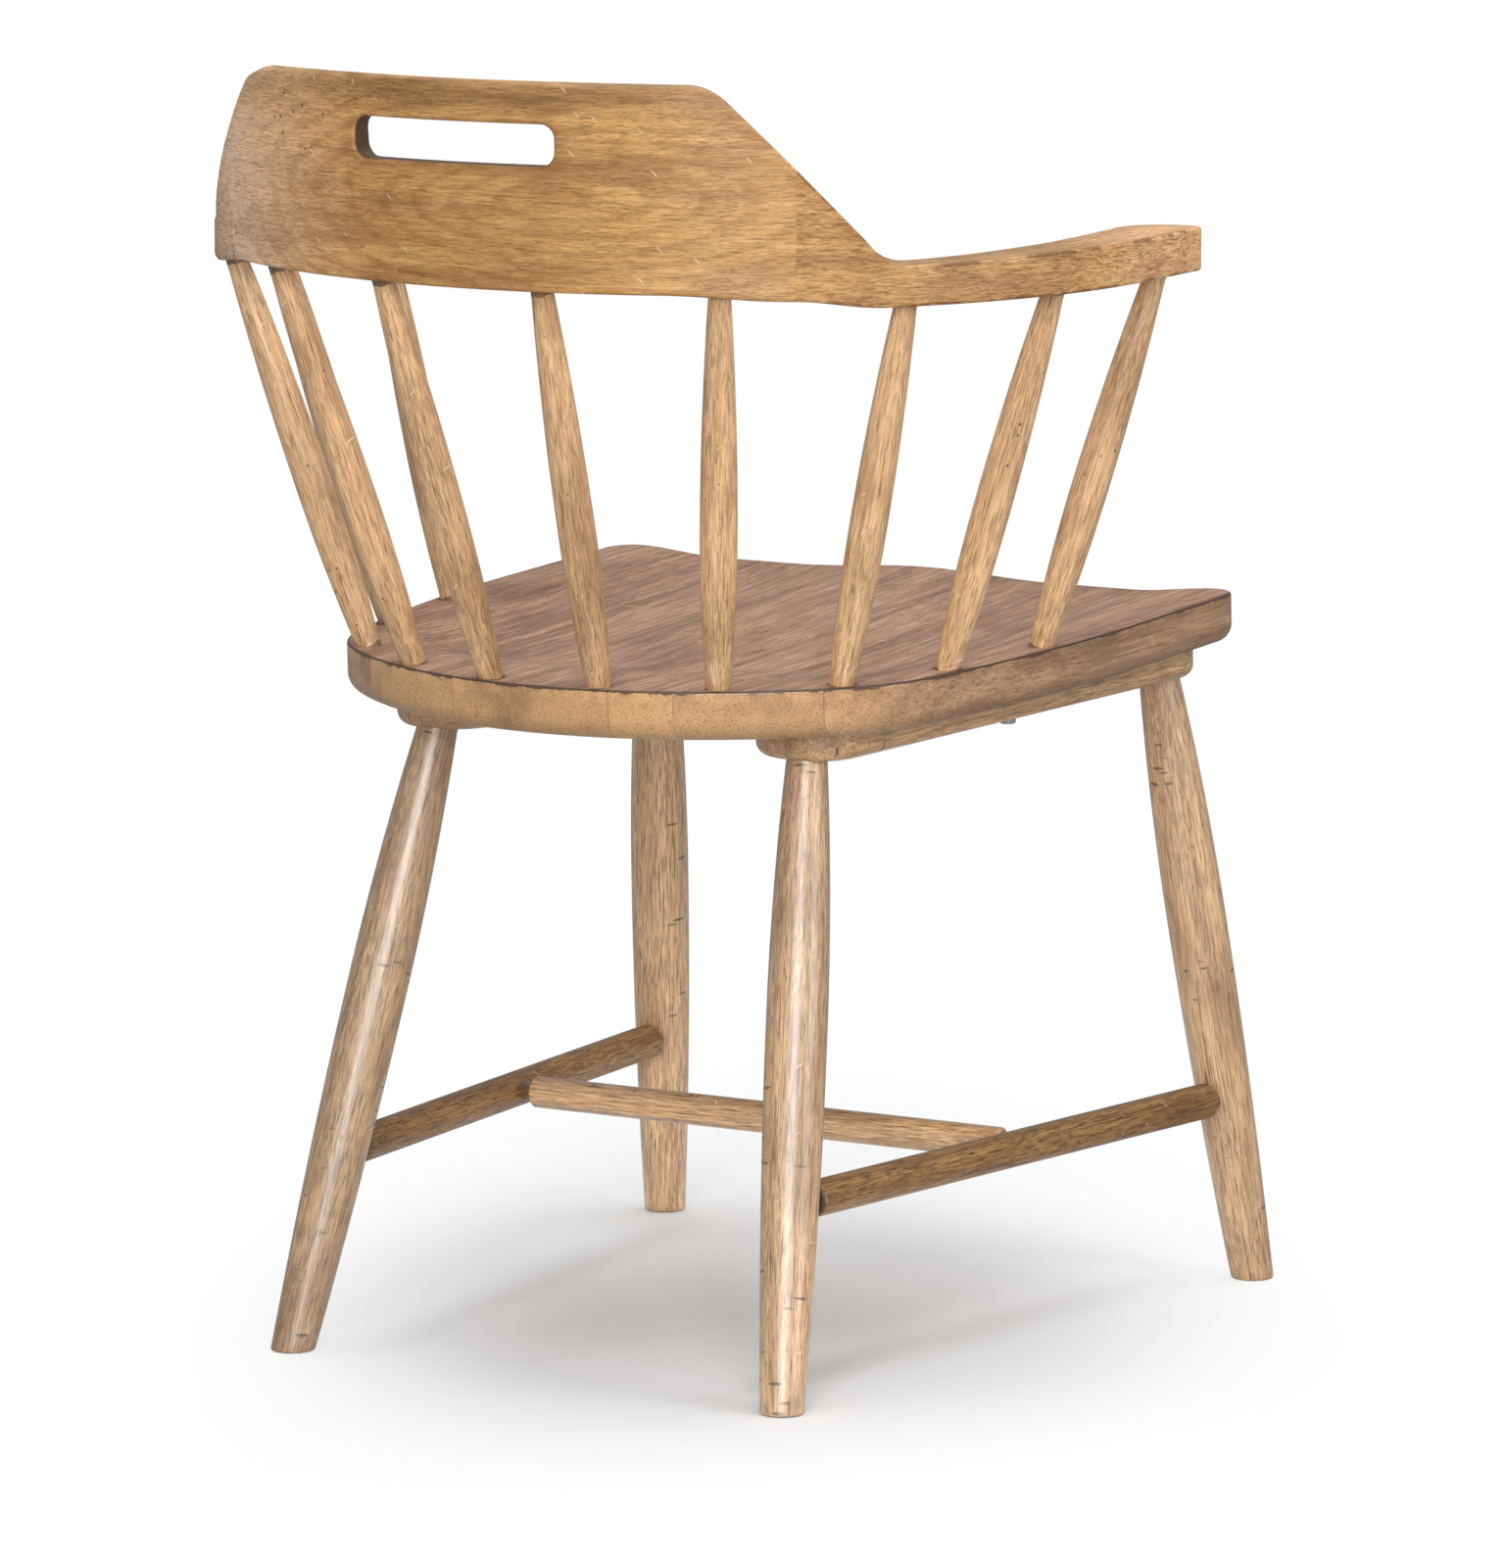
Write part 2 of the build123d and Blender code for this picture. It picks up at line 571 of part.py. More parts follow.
# Cross stretcher between the side stretchers
cross_ends = {}
for name, side in SIDES:
    origin, run = side_lines[name]
    cross_ends[name] = origin + run * ((CROSS_Y - origin.Y) / run.Y)
inward = Vector(-1, 0, 0)
reach_in = SIDE_RADIUS - CROSS_TENON
start = cross_ends["left"] + inward * reach_in
stop = cross_ends["right"] - inward * reach_in
plane, length = along(start, stop)
section = stretcher_section(
    length, CROSS_RADIUS, CROSS_TENON_RADIUS, (CROSS_TENON + CROSS_NECK,) * 2,
    lambda corners: chamfer(corners, CROSS_RADIUS - CROSS_TENON_RADIUS - FIT),
)
pieces["cross_stretcher"] = plane * revolve(Plane.XZ * section, Axis.Z)
hole = rod(CROSS_TENON_RADIUS + FIT, start - inward * HOLE_END, stop + inward * HOLE_END)
for name, side in SIDES:
    pieces[f"side_stretcher_{name}"] -= hole

# Cleat screws
screws = []
for name, side in SIDES:
    for place in screw_places(side):
        screws.append(place * make_screw())
        hole = place * rod(SCREW_RADIUS + FIT, (0, 0, -FIT), (0, 0, SCREW_LENGTH + HOLE_END))
        cleats[name] -= hole
        seat -= hole
pieces["cleat_screws"] = Compound(screws)

# Dowels across the seams
dowels = []
for rise in DOWEL_RISES:
    height = CREST_BOTTOM + rise
    dowel = rod(DOWEL_RADIUS, *dowel_ends(height))
    hole = dowel_hole(height)
    for name, side in SIDES:
        side_hole = hole if side > 0 else hole.mirror(Plane.YZ)
        dowels.append(dowel if side > 0 else dowel.mirror(Plane.YZ))
        crest -= side_hole
        arms[name] -= side_hole
pieces["arm_dowels"] = Compound(dowels)

pieces["crest_board"] = crest
for name, side in SIDES:
    pieces[f"arm_{name}"] = arms[name]
    pieces[f"cleat_{name}"] = cleats[name]
for number, board in enumerate(split_boards(seat), 1):
    pieces[f"seat_board_{number}"] = board

# The origin is on the floor, in the middle of the whole chair's outline
box = Compound([solid for piece in pieces.values() for solid in piece.solids()]).bounding_box()
centre = box.center()
shift = Pos(-centre.X, -centre.Y, -box.min.Z)
os.makedirs("parts", exist_ok=True)
for name, piece in pieces.items():
    export_step(shift * piece, f"parts/{name}.step")
print("size", box.size, "moved by", shift.position)
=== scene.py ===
import math

import bmesh
import bpy
import numpy as np
from mathutils import Matrix
from mathutils.kdtree import KDTree


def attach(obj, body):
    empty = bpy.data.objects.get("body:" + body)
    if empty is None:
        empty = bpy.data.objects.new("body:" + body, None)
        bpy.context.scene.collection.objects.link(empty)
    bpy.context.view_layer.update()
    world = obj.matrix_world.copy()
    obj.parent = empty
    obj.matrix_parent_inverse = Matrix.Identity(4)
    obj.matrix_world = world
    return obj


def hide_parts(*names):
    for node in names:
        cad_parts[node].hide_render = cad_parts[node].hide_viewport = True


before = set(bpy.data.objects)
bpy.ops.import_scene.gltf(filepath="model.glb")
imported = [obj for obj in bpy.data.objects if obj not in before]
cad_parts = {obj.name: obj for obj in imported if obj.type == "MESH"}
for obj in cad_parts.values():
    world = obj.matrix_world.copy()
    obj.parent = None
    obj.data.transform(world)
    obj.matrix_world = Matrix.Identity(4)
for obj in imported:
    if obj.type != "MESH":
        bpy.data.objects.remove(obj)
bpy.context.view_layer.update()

# Lengths below are in mm, with y = 0 midway between the front and rear feet; REST_Y moves them to the frame
MM = 0.001
REST_Y = -41.0496

SEAT_HEIGHT = 450.0
SEAT_TILT = math.radians(2.7)
SEAT_THICKNESS = 32.0
SEAT_REAR_Y = 262.0
SEAT_FRONT_Y = -221.0
SEAT_ARCS = ((266.0, 42.0), (110.0, 35.0), (975.0, 13.0))      # radius and sweep, from the rear middle
SEAT_FRONT_RADIUS = 20.0
SEAT_TOP_ROUND = 1.6
SEAT_BOTTOM_ROUND = 12.0
SEAT_SEAMS = (-172.0, -92.0, -52.0, 64.0, 150.0)
SEAT_BEYOND = 1000.0           # an x outside the seat
SADDLE_STATIONS = (            # y, depth of the hollows, depth of the ridge between them
    (262.0, 0.0, 0.0),
    (202.0, 1.0, 0.8),
    (136.0, 9.6, 8.2),
    (70.0, 11.2, 7.5),
    (-75.0, 8.8, 2.8),
    (-221.0, 4.8, 0.4),
)
SADDLE_HOLLOW_X = 98.0
SADDLE_RIM = (20.0, 62.0)      # width of the flat rim, and of the slope inside it

CLEAT_WIDTH = 75.0
CLEAT_THICKNESS = 17.0
CLEAT_SHOWN = 20.4             # thickness of the dressed cleats
CLEAT_OFFSET = 5.5
CLEAT_OVERHANG = (18.5, 17.5)  # past the rear and the front leg
CLEAT_CORNER = 32.0
CLEAT_ROUND = 8.0
SCREW_RADIUS = 2.25
SCREW_LENGTH = 29.0
SCREW_HEAD = (5.0, 4.0, 1.2)   # radius, height, rounding
SCREW_RECESS = (0.9, 1.7, 1.4)     # radius at the bottom and at the top, depth
SCREW_SPACING = 105.0
SCREW_STAGGER = 23.0

LEG_ENDS = {                   # foot and top of the left legs, in plan
    "rear": ((180.8, 261.3), (135.9, 160.3)),
    "front": ((226.9, -261.3), (190.8, -189.3)),
}
LEG_RADII = (13.2, 19.2, 13.0)     # foot, belly, top
LEG_BELLY_DROP = 172.0
LEG_TENON = 29.0
LEG_STRAIGHT = 6.0
LEG_FOOT_ROUND = 1.8
LEG_SPARE = 12.0
LEG_LEVELLED = 30.0            # height over which the rings turn level with the floor

STRETCHER_HEIGHT = 123.3
SIDE_RADIUS = 11.5
SIDE_TENON_RADIUS = 7.5
SIDE_TENON = 21.0
SIDE_ROUND = 3.9
SIDE_GAP = 0.6
CROSS_RADIUS = 10.3
CROSS_TENON_RADIUS = 6.6
CROSS_TENON = 12.0
CROSS_NECK = 3.0
CROSS_CHAMFER = 3.6
CROSS_Y = -18.0

RAIL_CENTRE_Y = 34.0
RAIL_RADIUS = 310.0
RAIL_SWEEP = math.radians(39.0)
RAIL_CORNER_RADIUS = 250.6
CREST_BOTTOM = 691.0
CREST_TOP = 818.0
CREST_OUTER = 323.0
CREST_INNER = 297.0
CREST_LEAN = (10.0, 1.2)       # lean of the inner face at the top, and how it grows with height
CREST_TOP_ROUND = 8.0
CREST_BOTTOM_ROUND = 2.5
SHOULDER_EDGE = 2.0
SHOULDER_FLARE = (9.0, 95.0, 0.6)  # outward lean of the shoulders, over a height, and how it grows
SHOULDER_SEAM = 767.0          # height of the sloping shoulder at the seam
SHOULDER_ROUNDS = (32.0, 28.0)
SLOT = (143.0, 25.5, 9.0, 779.8)   # width, height, corner radius, height above the floor
SLOT_EDGE = 2.2
SLOT_INNER_EDGE = 6.0
SEAM_EDGE = 0.15
UNDERSIDE = {"left": 2.2, "right": -3.8}   # height of the rail's underside at the seams, against the middle
UNDERSIDE_DEPTH = 40.0         # height over which that bend fades out

ARM_BOTTOM = 684.5
ARM_TOP = 711.5
ARM_OUTER_X = 315.0
ARM_INNER_X = 270.0
ARM_FRONT_Y = -26.0
ARM_FLARE = 7.0
ARM_CORNERS = (11.0, 30.0)     # outer and inner front corner in plan
ARM_EDGE = 2.0
ARM_RAMP = 58.0
ARM_ROWS = 260
ARM_RISE = (132.0, -3.8 / 98.0, 3.2 / 158.0)   # y of the right arm's mean height, slope behind and ahead
LEFT_ARM_LIFT = 3.0            # lift of the left arm's underside
DOWEL = (5.0, 44.0, (706.0, 741.0))    # radius, length, heights

SPINDLE_INSET = 12.0
SPINDLE_FEET = (39.7, 115.5, 192.0, 274.0, 369.0)
SPINDLE_TOPS = (57.5, 167.0, 282.5, 398.0, 522.0)
SPINDLE_RADII = (8.0, 11.6, 7.1)   # foot, belly, top
SPINDLE_BELLY = 105.0
SPINDLE_TENONS = (20.0, 17.0)
SPINDLE_STRAIGHT = 4.0

SIDES = (("left", 1), ("right", -1))
FAR = 60.0                     # an "edge" distance that counts as nowhere near an edge
SOFT_EDGE = 0.45               # added to the rail's "edge" distances, so that its arrises stay lightly glazed
SHARP_ANGLE = math.radians(35.0)


# Shading
class Graph:
    """The node tree of a material or a world, written as expressions."""

    def __init__(self, owner):
        self.owner = owner
        owner.use_nodes = True
        self.tree = owner.node_tree
        self.tree.nodes.clear()

    def put(self, socket, value):
        if isinstance(value, bpy.types.NodeSocket):
            self.tree.links.new(value, socket)
        else:
            socket.default_value = value

    def node(self, kind, inputs=(), **settings):
        made = self.tree.nodes.new(kind)
        for key, value in settings.items():
            setattr(made, key, value)
        for key, value in dict(inputs).items():
            self.put(made.inputs[key], value)
        return made

    def attribute(self, name, output="Fac"):
        return self.node("ShaderNodeAttribute", attribute_name=name).outputs[output]

    def math(self, operation, *values):
        return self.node("ShaderNodeMath", enumerate(values), operation=operation).outputs[0]

    def times(self, first, second):
        return self.math("MULTIPLY", first, second)

    def rest(self, value):
        """What a share leaves of the whole."""
        return self.math("SUBTRACT", 1.0, value)

    def vector(self, operation, *values):
        made = self.node("ShaderNodeVectorMath", enumerate(values), operation=operation)
        return made.outputs["Value" if operation == "LENGTH" else "Vector"]

    def noise(self, where, detail=2.0, roughness=0.5):
        inputs = {"Vector": where, "Scale": 1.0, "Detail": detail, "Roughness": roughness}
        return self.node("ShaderNodeTexNoise", inputs, noise_dimensions="3D").outputs["Fac"]

    def steps(self, value, low, high, to_low=0.0, to_high=1.0):
        """Smooth step of value between low and high."""
        inputs = {"Value": value, "From Min": low, "From Max": high, "To Min": to_low, "To Max": to_high}
        return self.node("ShaderNodeMapRange", inputs, interpolation_type="SMOOTHSTEP").outputs["Result"]

    def mix(self, share, first, second):
        made = self.node("ShaderNodeMix", {0: share, 6: first, 7: second}, data_type="RGBA")
        return made.outputs[2]

    def turned(self, where, angle, axis):
        inputs = {"Vector": where, "Angle": angle}
        return self.node("ShaderNodeVectorRotate", inputs, rotation_type=axis).outputs[0]

    def marks(self, where, size, share):
        """Scattered spots: 1 inside a spot; size against the cell, share of the cells that have one."""
        cell = self.node("ShaderNodeTexVoronoi", {"Vector": where, "Scale": 1.0}, feature="F1")
        spot = self.steps(cell.outputs["Distance"], size * 0.55, size, 1.0, 0.0)
        pick = self.node("ShaderNodeSeparateColor", {"Color": cell.outputs["Color"]}).outputs[0]
        return self.times(spot, self.math("LESS_THAN", pick, share))

    def bump(self, height, strength, distance):
        inputs = {"Height": height, "Strength": strength, "Distance": distance}
        return self.node("ShaderNodeBump", inputs).outputs[0]

    def principled(self, inputs):
        return self.node("ShaderNodeBsdfPrincipled", inputs).outputs[0]

    def finish(self, shader, output="ShaderNodeOutputMaterial"):
        self.node(output, {"Surface": shader})
        return self.owner


def rgba(red, green, blue):
    """Linear colour of an 8-bit display colour."""
    linear = [((c / 255 + 0.055) / 1.055) ** 2.4 if c > 10 else c / 3294.6 for c in (red, green, blue)]
    return (*linear, 1.0)


RING_WIDTH = 9.0               # mm from one annual ring to the next
RING_WANDER = 34.0             # mm by which the rings stray
RING_STRENGTH = 0.28
NICK_SLANT = 0.8               # radians between the pale nicks and the fibres


def wood(name, tones, glaze, gloss, lines, stretch, figure, chips, seams=False):
    """Distressed, glazed wood, shaded by the layers of its pieces: grain holds the mm across (x, y) and
    along (z) the fibres, ring the mm from the pith, edge the mm from an arris or joint, seam the mm from
    a glue line, fade the share of the pale tone, and tone a change of brightness.

    tones: light, middle, dark and pale; gloss: roughness, specular level, and the coat's weight,
    roughness and IOR; lines: least and most width of the glaze at an edge, and its strength; stretch:
    length of the streaks; figure: strength of fibres, dashes, flecks and specks; chips: cells per mm and
    size of the dark nicks; seams: the wood has glue lines, and where it fades it is polished and loses
    its dashes and flecks."""
    light, middle, dark, pale = tones
    rough, specular, coat, coat_rough, coat_ior = gloss
    narrow, wide, glaze_strength = lines
    fibres, dashes, flecks, specks = figure
    chip_cells, chip_size = chips
    g = Graph(bpy.data.materials.new(name))
    grain = g.attribute("grain", "Vector")
    edge = g.attribute("edge")
    fade = g.attribute("fade")
    unfaded = g.rest(fade)

    def field(across, along, detail=2.0, roughness=0.5):
        """Noise with so many cells per mm across and along the fibres."""
        return g.noise(g.vector("MULTIPLY", grain, (across, across, along)), detail, roughness)

    # Figure, from annual rings to pores
    shift = g.times(g.math("SUBTRACT", field(0.011, 0.0045), 0.5), RING_WANDER)
    turns = g.times(g.math("ADD", g.attribute("ring"), shift), 2 * math.pi / RING_WIDTH)
    rings = g.steps(g.math("SINE", turns), 0.0, 1.0)
    blotch = field(0.018, 0.010, 3.0, 0.55)
    broad = field(0.075, 0.005 / stretch, 3.0, 0.55)
    patch = field(0.03, 0.010 / stretch, 3.0, 0.55)
    streak = field(0.40, 0.008 / stretch, 5.0, 0.62)
    fibre = field(1.5, 0.04 / stretch, 3.0, 0.6)
    speck = field(0.76, 0.034 / stretch)
    dash = g.times(g.steps(field(1.25, 0.09 / stretch), 0.46, 0.64), g.steps(patch, 0.36, 0.62, 0.35, 1.0))
    fleck = g.times(g.steps(field(1.05, 0.038 / stretch), 0.59, 0.68), g.steps(patch, 0.60, 0.40, 0.20, 1.0))
    if seams:
        dash = g.times(dash, unfaded)
        fleck = g.times(fleck, unfaded)

    # Nicks in clusters: pale ones slanting across the fibres, and dark ones
    bent = g.times(field(0.05, 0.05), 1.6)
    slant = g.turned(grain, NICK_SLANT, "X_AXIS")
    slant = g.vector("ADD", slant, g.node("ShaderNodeCombineXYZ", {"Y": bent}).outputs[0])
    pale_nick = g.marks(g.vector("MULTIPLY", slant, (0.016, 0.16, 0.036)), 0.13, 0.50)
    pale_nick = g.times(pale_nick, g.steps(field(0.012, 0.012), 0.46, 0.52))
    dark_nick = g.marks(g.vector("MULTIPLY", grain, chip_cells), chip_size, 0.45)
    dark_nick = g.times(dark_nick, g.steps(field(0.02, 0.018), 0.52, 0.56))

    # Glaze that has stayed along the edges, in a ragged line with a soft border
    ragged = field(0.06, 0.035, 4.0, 0.65)
    width = g.steps(ragged, 0.44, 0.68, narrow, wide)
    glazed = g.steps(g.math("DIVIDE", edge, width), 0.45, 1.0, glaze_strength, 0.0)
    border = g.times(g.steps(edge, 0.0, 14.0, 1.0, 0.0), g.steps(ragged, 0.40, 0.62, 0.0, 0.35))

    # The pale wash of fade and the change of brightness by tone also carry the pieces' painted sheen, painted
    # highlight and painted shade
    washes = [
        (g.steps(broad, 0.40, 0.72, 0.0, 0.60), dark),
        (fade, pale),
        (g.times(rings, g.times(unfaded, RING_STRENGTH)), dark),
        (g.steps(blotch, 0.48, 0.72, 0.0, 0.50), dark),
        (g.steps(fibre, 0.45, 0.74, 0.0, fibres), dark),
        (g.steps(speck, 0.50, 0.68, 0.0, specks), dark),
        (g.steps(speck, 0.48, 0.28, 0.0, specks * 0.6), light),
        (g.times(dash, dashes), glaze),
        (g.times(fleck, flecks), glaze),
        (g.times(pale_nick, 0.55), pale),
        (g.times(dark_nick, 0.80), glaze),
        (glazed, glaze),
        (border, dark),
    ]
    if seams:
        washes.append((g.steps(g.attribute("seam"), 0.1, 0.5, 0.35, 0.0), glaze))
    colour = g.mix(g.steps(streak, 0.32, 0.68), light, middle)
    for share, wash in washes:
        colour = g.mix(share, colour, wash)
    value = g.math("ADD", 1.0, g.attribute("tone"))
    colour = g.node("ShaderNodeHueSaturation", {"Color": colour, "Value": value}).outputs[0]

    # Relief in mm
    pores = g.math("MAXIMUM", dash, fleck)
    nicks = g.math("MAXIMUM", pale_nick, dark_nick)
    height = g.times(field(0.06, 0.03), 0.22)
    for mark, rise in ((streak, 0.06), (pores, -0.07), (nicks, -0.30)):
        height = g.math("MULTIPLY_ADD", mark, rise, height)
    dull = g.math("MULTIPLY_ADD", g.math("SUBTRACT", streak, 0.5), 0.15, rough)
    return g.finish(g.principled({
        "Base Color": colour, "Roughness": dull, "IOR": 1.5, "Specular IOR Level": specular,
        "Normal": g.bump(height, 0.9, MM), "Coat Weight": g.times(fade, coat) if seams else coat,
        "Coat Roughness": coat_rough, "Coat IOR": coat_ior,
    }))


def steel(name):
    """Zinc-plated steel, faintly mottled and rubbed."""
    g = Graph(bpy.data.materials.new(name))
    place = g.node("ShaderNodeTexCoord").outputs["Object"]
    mottle = g.noise(g.vector("MULTIPLY", place, (900.0, 900.0, 900.0)), 3.0)
    scuff = g.noise(g.vector("MULTIPLY", place, (3000.0, 500.0, 500.0)))
    return g.finish(g.principled({
        "Base Color": g.mix(g.steps(mottle, 0.35, 0.7), rgba(196, 196, 192), rgba(150, 149, 144)),
        "Metallic": 1.0, "Roughness": g.steps(scuff, 0.3, 0.7, 0.28, 0.46),
        "Normal": g.bump(scuff, 0.4, 0.05 * MM),
    }))


ACROSS_NICKS = ((0.05, 0.05, 0.26), 0.30)
PIN_MARKS = ((0.12, 0.12, 0.12), 0.14)
RAIL_TONES = (rgba(214, 167, 106), rgba(190, 139, 76), rgba(134, 88, 44), rgba(232, 200, 175))
TURNED_TONES = (rgba(220, 176, 124), rgba(194, 146, 92), rgba(116, 76, 42), rgba(228, 196, 160))
SEAT_TONES = (rgba(183, 149, 124), rgba(152, 119, 97), rgba(102, 72, 57), rgba(218, 170, 114))
RAIL_GLAZE = rgba(50, 34, 24)
SEAT_GLAZE = rgba(42, 31, 26)
RAIL_GLOSS = (0.48, 0.35, 0.08, 0.2, 1.5)
RAIL_LINES = (0.4, 1.4, 0.6)
TURNED_LINES = (0.6, 2.2, 0.8)
rail_wood = wood(
    "rail_wood", RAIL_TONES, RAIL_GLAZE, RAIL_GLOSS, RAIL_LINES,
    stretch=0.45, figure=(0.5, 0.34, 0.42, 0.40), chips=PIN_MARKS,
)
arm_wood = wood(
    "arm_wood", RAIL_TONES, RAIL_GLAZE, RAIL_GLOSS, RAIL_LINES,
    stretch=0.45, figure=(0.6, 0.42, 0.52, 0.65), chips=PIN_MARKS,
)
stretcher_wood = wood(
    "stretcher_wood", RAIL_TONES, RAIL_GLAZE, (0.44, 0.4, 0.3, 0.3, 1.5), TURNED_LINES,
    stretch=0.7, figure=(0.9, 0.75, 0.9, 0.9), chips=PIN_MARKS,
)
leg_wood = wood(
    "leg_wood", TURNED_TONES, RAIL_GLAZE, (0.42, 0.45, 1.0, 0.36, 1.85), TURNED_LINES,
    stretch=0.9, figure=(0.70, 0.60, 0.80, 0.6), chips=ACROSS_NICKS,
)
spindle_wood = wood(
    "spindle_wood", TURNED_TONES, RAIL_GLAZE, (0.42, 0.4, 0.4, 0.3, 1.6), TURNED_LINES,
    stretch=0.85, figure=(0.60, 0.46, 0.70, 0.40), chips=PIN_MARKS,
)
seat_wood = wood(
    "seat_wood", SEAT_TONES, SEAT_GLAZE, (0.55, 0.25, 0.8, 0.2, 1.5), lines=(1.1, 3.0, 0.92),
    stretch=1.4, figure=(0.5, 0.42, 0.62, 0.42), chips=PIN_MARKS, seams=True,
)
screw_steel = steel("screw_steel")

# Brightness of the pieces: change of tone, its random spread, and fade
TONE_SPREAD = 0.03
LEG_SPREAD = 0.04
BOARD_SPREAD = 0.09
# The fade of the spindles, legs and cross stretcher is painted sheen: a pale share that stands in for their
# gloss highlights
SPINDLE_LOOK = {"tone": 0.30, "fade": 0.36}
# painted light and shade: each leg's tone is set to how bright it looks under the light, the front legs much
# brighter
LEG_PAINTED_LIGHT = {
    ("rear", "left"): -0.04, ("rear", "right"): 0.12, ("front", "left"): 0.42, ("front", "right"): 0.34,
}
LEG_SHEEN_FADE = 0.34
SIDE_STRETCHER_TONE = -0.34
CROSS_LOOK = {"tone": 0.42, "fade": 0.2}
CLEAT_TONE = 0.16


# Meshes
def unit(vector):
    return np.asarray(vector, float) / np.linalg.norm(vector)


def smooth(value):
    value = np.clip(value, 0.0, 1.0)
    return value * value * (3 - 2 * value)


def ramps(place, base, *steps):
    """A base value changed by smooth ramps, each given as (change, start, width)."""
    return base + sum(change * smooth((place - start) / width) for change, start, width in steps)


def rounding(radius, degrees):
    """Distances from the two faces that a rounded edge joins, at angles from 0 (first) to 90 (second)."""
    angles = np.radians(degrees)
    return radius * np.column_stack([1 - np.cos(angles), 1 - np.sin(angles)])


def grid_faces(rows, columns, loop=False):
    """Quads of rows rings of columns points each; loop joins the last ring to the first."""
    first = np.arange(rows if loop else rows - 1)[:, None] * columns
    second = (first + columns) % (rows * columns)
    here = np.arange(columns)[None, :]
    there = (here + 1) % columns
    quads = np.stack([first + here, first + there, second + there, second + here], axis=-1)
    return quads.reshape(-1, 4).tolist()


def fan_faces(columns, start, centre):
    return [(start + k, start + (k + 1) % columns, centre) for k in range(columns)]


def capped(rings, layers):
    """Points, faces and point layers of a stack of rings closed by a middle point at either end."""
    rows, columns = rings.shape[:2]
    full = rows * columns
    points = np.vstack([rings.reshape(-1, 3), rings[0].mean(axis=0), rings[-1].mean(axis=0)])
    faces = grid_faces(rows, columns) + fan_faces(columns, 0, full)
    faces += fan_faces(columns, full - columns, full + 1)
    spread = {}
    for key, layer in layers.items():
        layer = layer.reshape(rows, columns, -1)
        tips = [layer[0].mean(axis=0), layer[-1].mean(axis=0)]
        spread[key] = np.vstack([layer.reshape(full, -1), tips])
    return points, faces, spread


def put_layer(mesh, key, values):
    """Writes a point layer: one number or one vector for each point."""
    values = np.asarray(values, np.float32).reshape(len(mesh.vertices), -1)
    kind, part = ("FLOAT_VECTOR", "vector") if values.shape[1] == 3 else ("FLOAT", "value")
    if key not in mesh.attributes:
        mesh.attributes.new(key, kind, "POINT")
    mesh.attributes[key].data.foreach_set(part, values.ravel())


def get_layer(mesh, key, width):
    """Reads a point layer that has width numbers for each point."""
    values = np.zeros(len(mesh.vertices) * width, np.float32)
    mesh.attributes[key].data.foreach_get("vector" if width == 3 else "value", values)
    return values.reshape(-1, width)


def new_mesh(name, points, faces, layers):
    """A mesh in the frame with its point layers."""
    mesh = bpy.data.meshes.new(name)
    mesh.from_pydata(((np.asarray(points) + (0.0, REST_Y, 0.0)) * MM).tolist(), [], faces)
    for key, values in layers.items():
        put_layer(mesh, key, values)
    return mesh


def piece_name(node, slot):
    """Name of the piece that stands for a CAD node, which ends with what it is made of."""
    return f"{node}_{slot.split('_')[-1]}"


def dress(mesh, node, slot, material, weld=0.0):
    """Cleans a mesh, gives it its material and ties it to the frame in place of a CAD node."""
    work = bmesh.new()
    work.from_mesh(mesh)
    if weld:
        bmesh.ops.remove_doubles(work, verts=work.verts, dist=weld)
    bmesh.ops.recalc_face_normals(work, faces=work.faces)
    work.to_mesh(mesh)
    work.free()
    mesh.polygons.foreach_set("use_smooth", [True] * len(mesh.polygons))
    mesh.set_sharp_from_angle(angle=SHARP_ANGLE)
    mesh.materials.append(material)
    piece = bpy.data.objects.new(piece_name(node, slot), mesh)
    bpy.context.scene.collection.objects.link(piece)
    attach(piece, "root")
    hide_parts(node)


def add_piece(node, slot, material, points, faces, layers, weld=0.0):
    """A closed mesh piece that stands for one CAD node."""
    if "grain" in layers:
        layers = {"ring": np.linalg.norm(layers["grain"][:, :2], axis=1), **layers}
    dress(new_mesh(piece_name(node, slot), points, faces, layers), node, slot, material, weld)


chance = np.random.default_rng(7)


def pith():
    """Random place of a piece in its tree: mm from the pith, and along the trunk."""
    turn = chance.uniform(0, 2 * math.pi)
    reach = chance.uniform(25, 90)
    return np.array([reach * math.cos(turn), reach * math.sin(turn), chance.uniform(0, 4000)])


def wood_layers(grain, edge, spread=TONE_SPREAD, tone=0.0, fade=0.0):
    """Point layers of a piece that has one brightness, random within the spread, and one fade."""
    tone += chance.uniform(-spread, spread)
    evenly = {"tone": np.full(edge.shape, tone), "fade": np.full(edge.shape, fade)}
    return {"grain": grain, "edge": np.clip(edge, 0.0, FAR), **evenly}


def add_wood(node, material, rings, grain, edge, **look):
    """A piece of the frame made of rings that are closed at both ends."""
    add_piece(node, "frame_wood", material, *capped(rings, wood_layers(grain, edge, **look)))


def axes_of(direction):
    """Two unit vectors square to a direction."""
    first = unit(np.cross(direction, (0.0, 0.0, 1.0) if abs(direction[2]) < 0.9 else (1.0, 0.0, 0.0)))
    return first, np.cross(direction, first)


def lathe(start, direction, stations, segments):
    """Rings of a turned piece, and its grain coordinates; stations are (distance, radius)."""
    places, radii = np.asarray(stations, float).T[:, :, None, None]
    first, second = axes_of(direction)
    turn = np.linspace(0, 2 * math.pi, segments, endpoint=False)
    out = np.cos(turn)[:, None] * first + np.sin(turn)[:, None] * second
    rings = np.asarray(start) + places * direction + radii * out
    flat = radii * np.stack([np.cos(turn), np.sin(turn)], axis=-1)
    grain = np.concatenate([flat, np.broadcast_to(places, (len(places), segments, 1))], axis=-1)
    return rings, grain + pith()


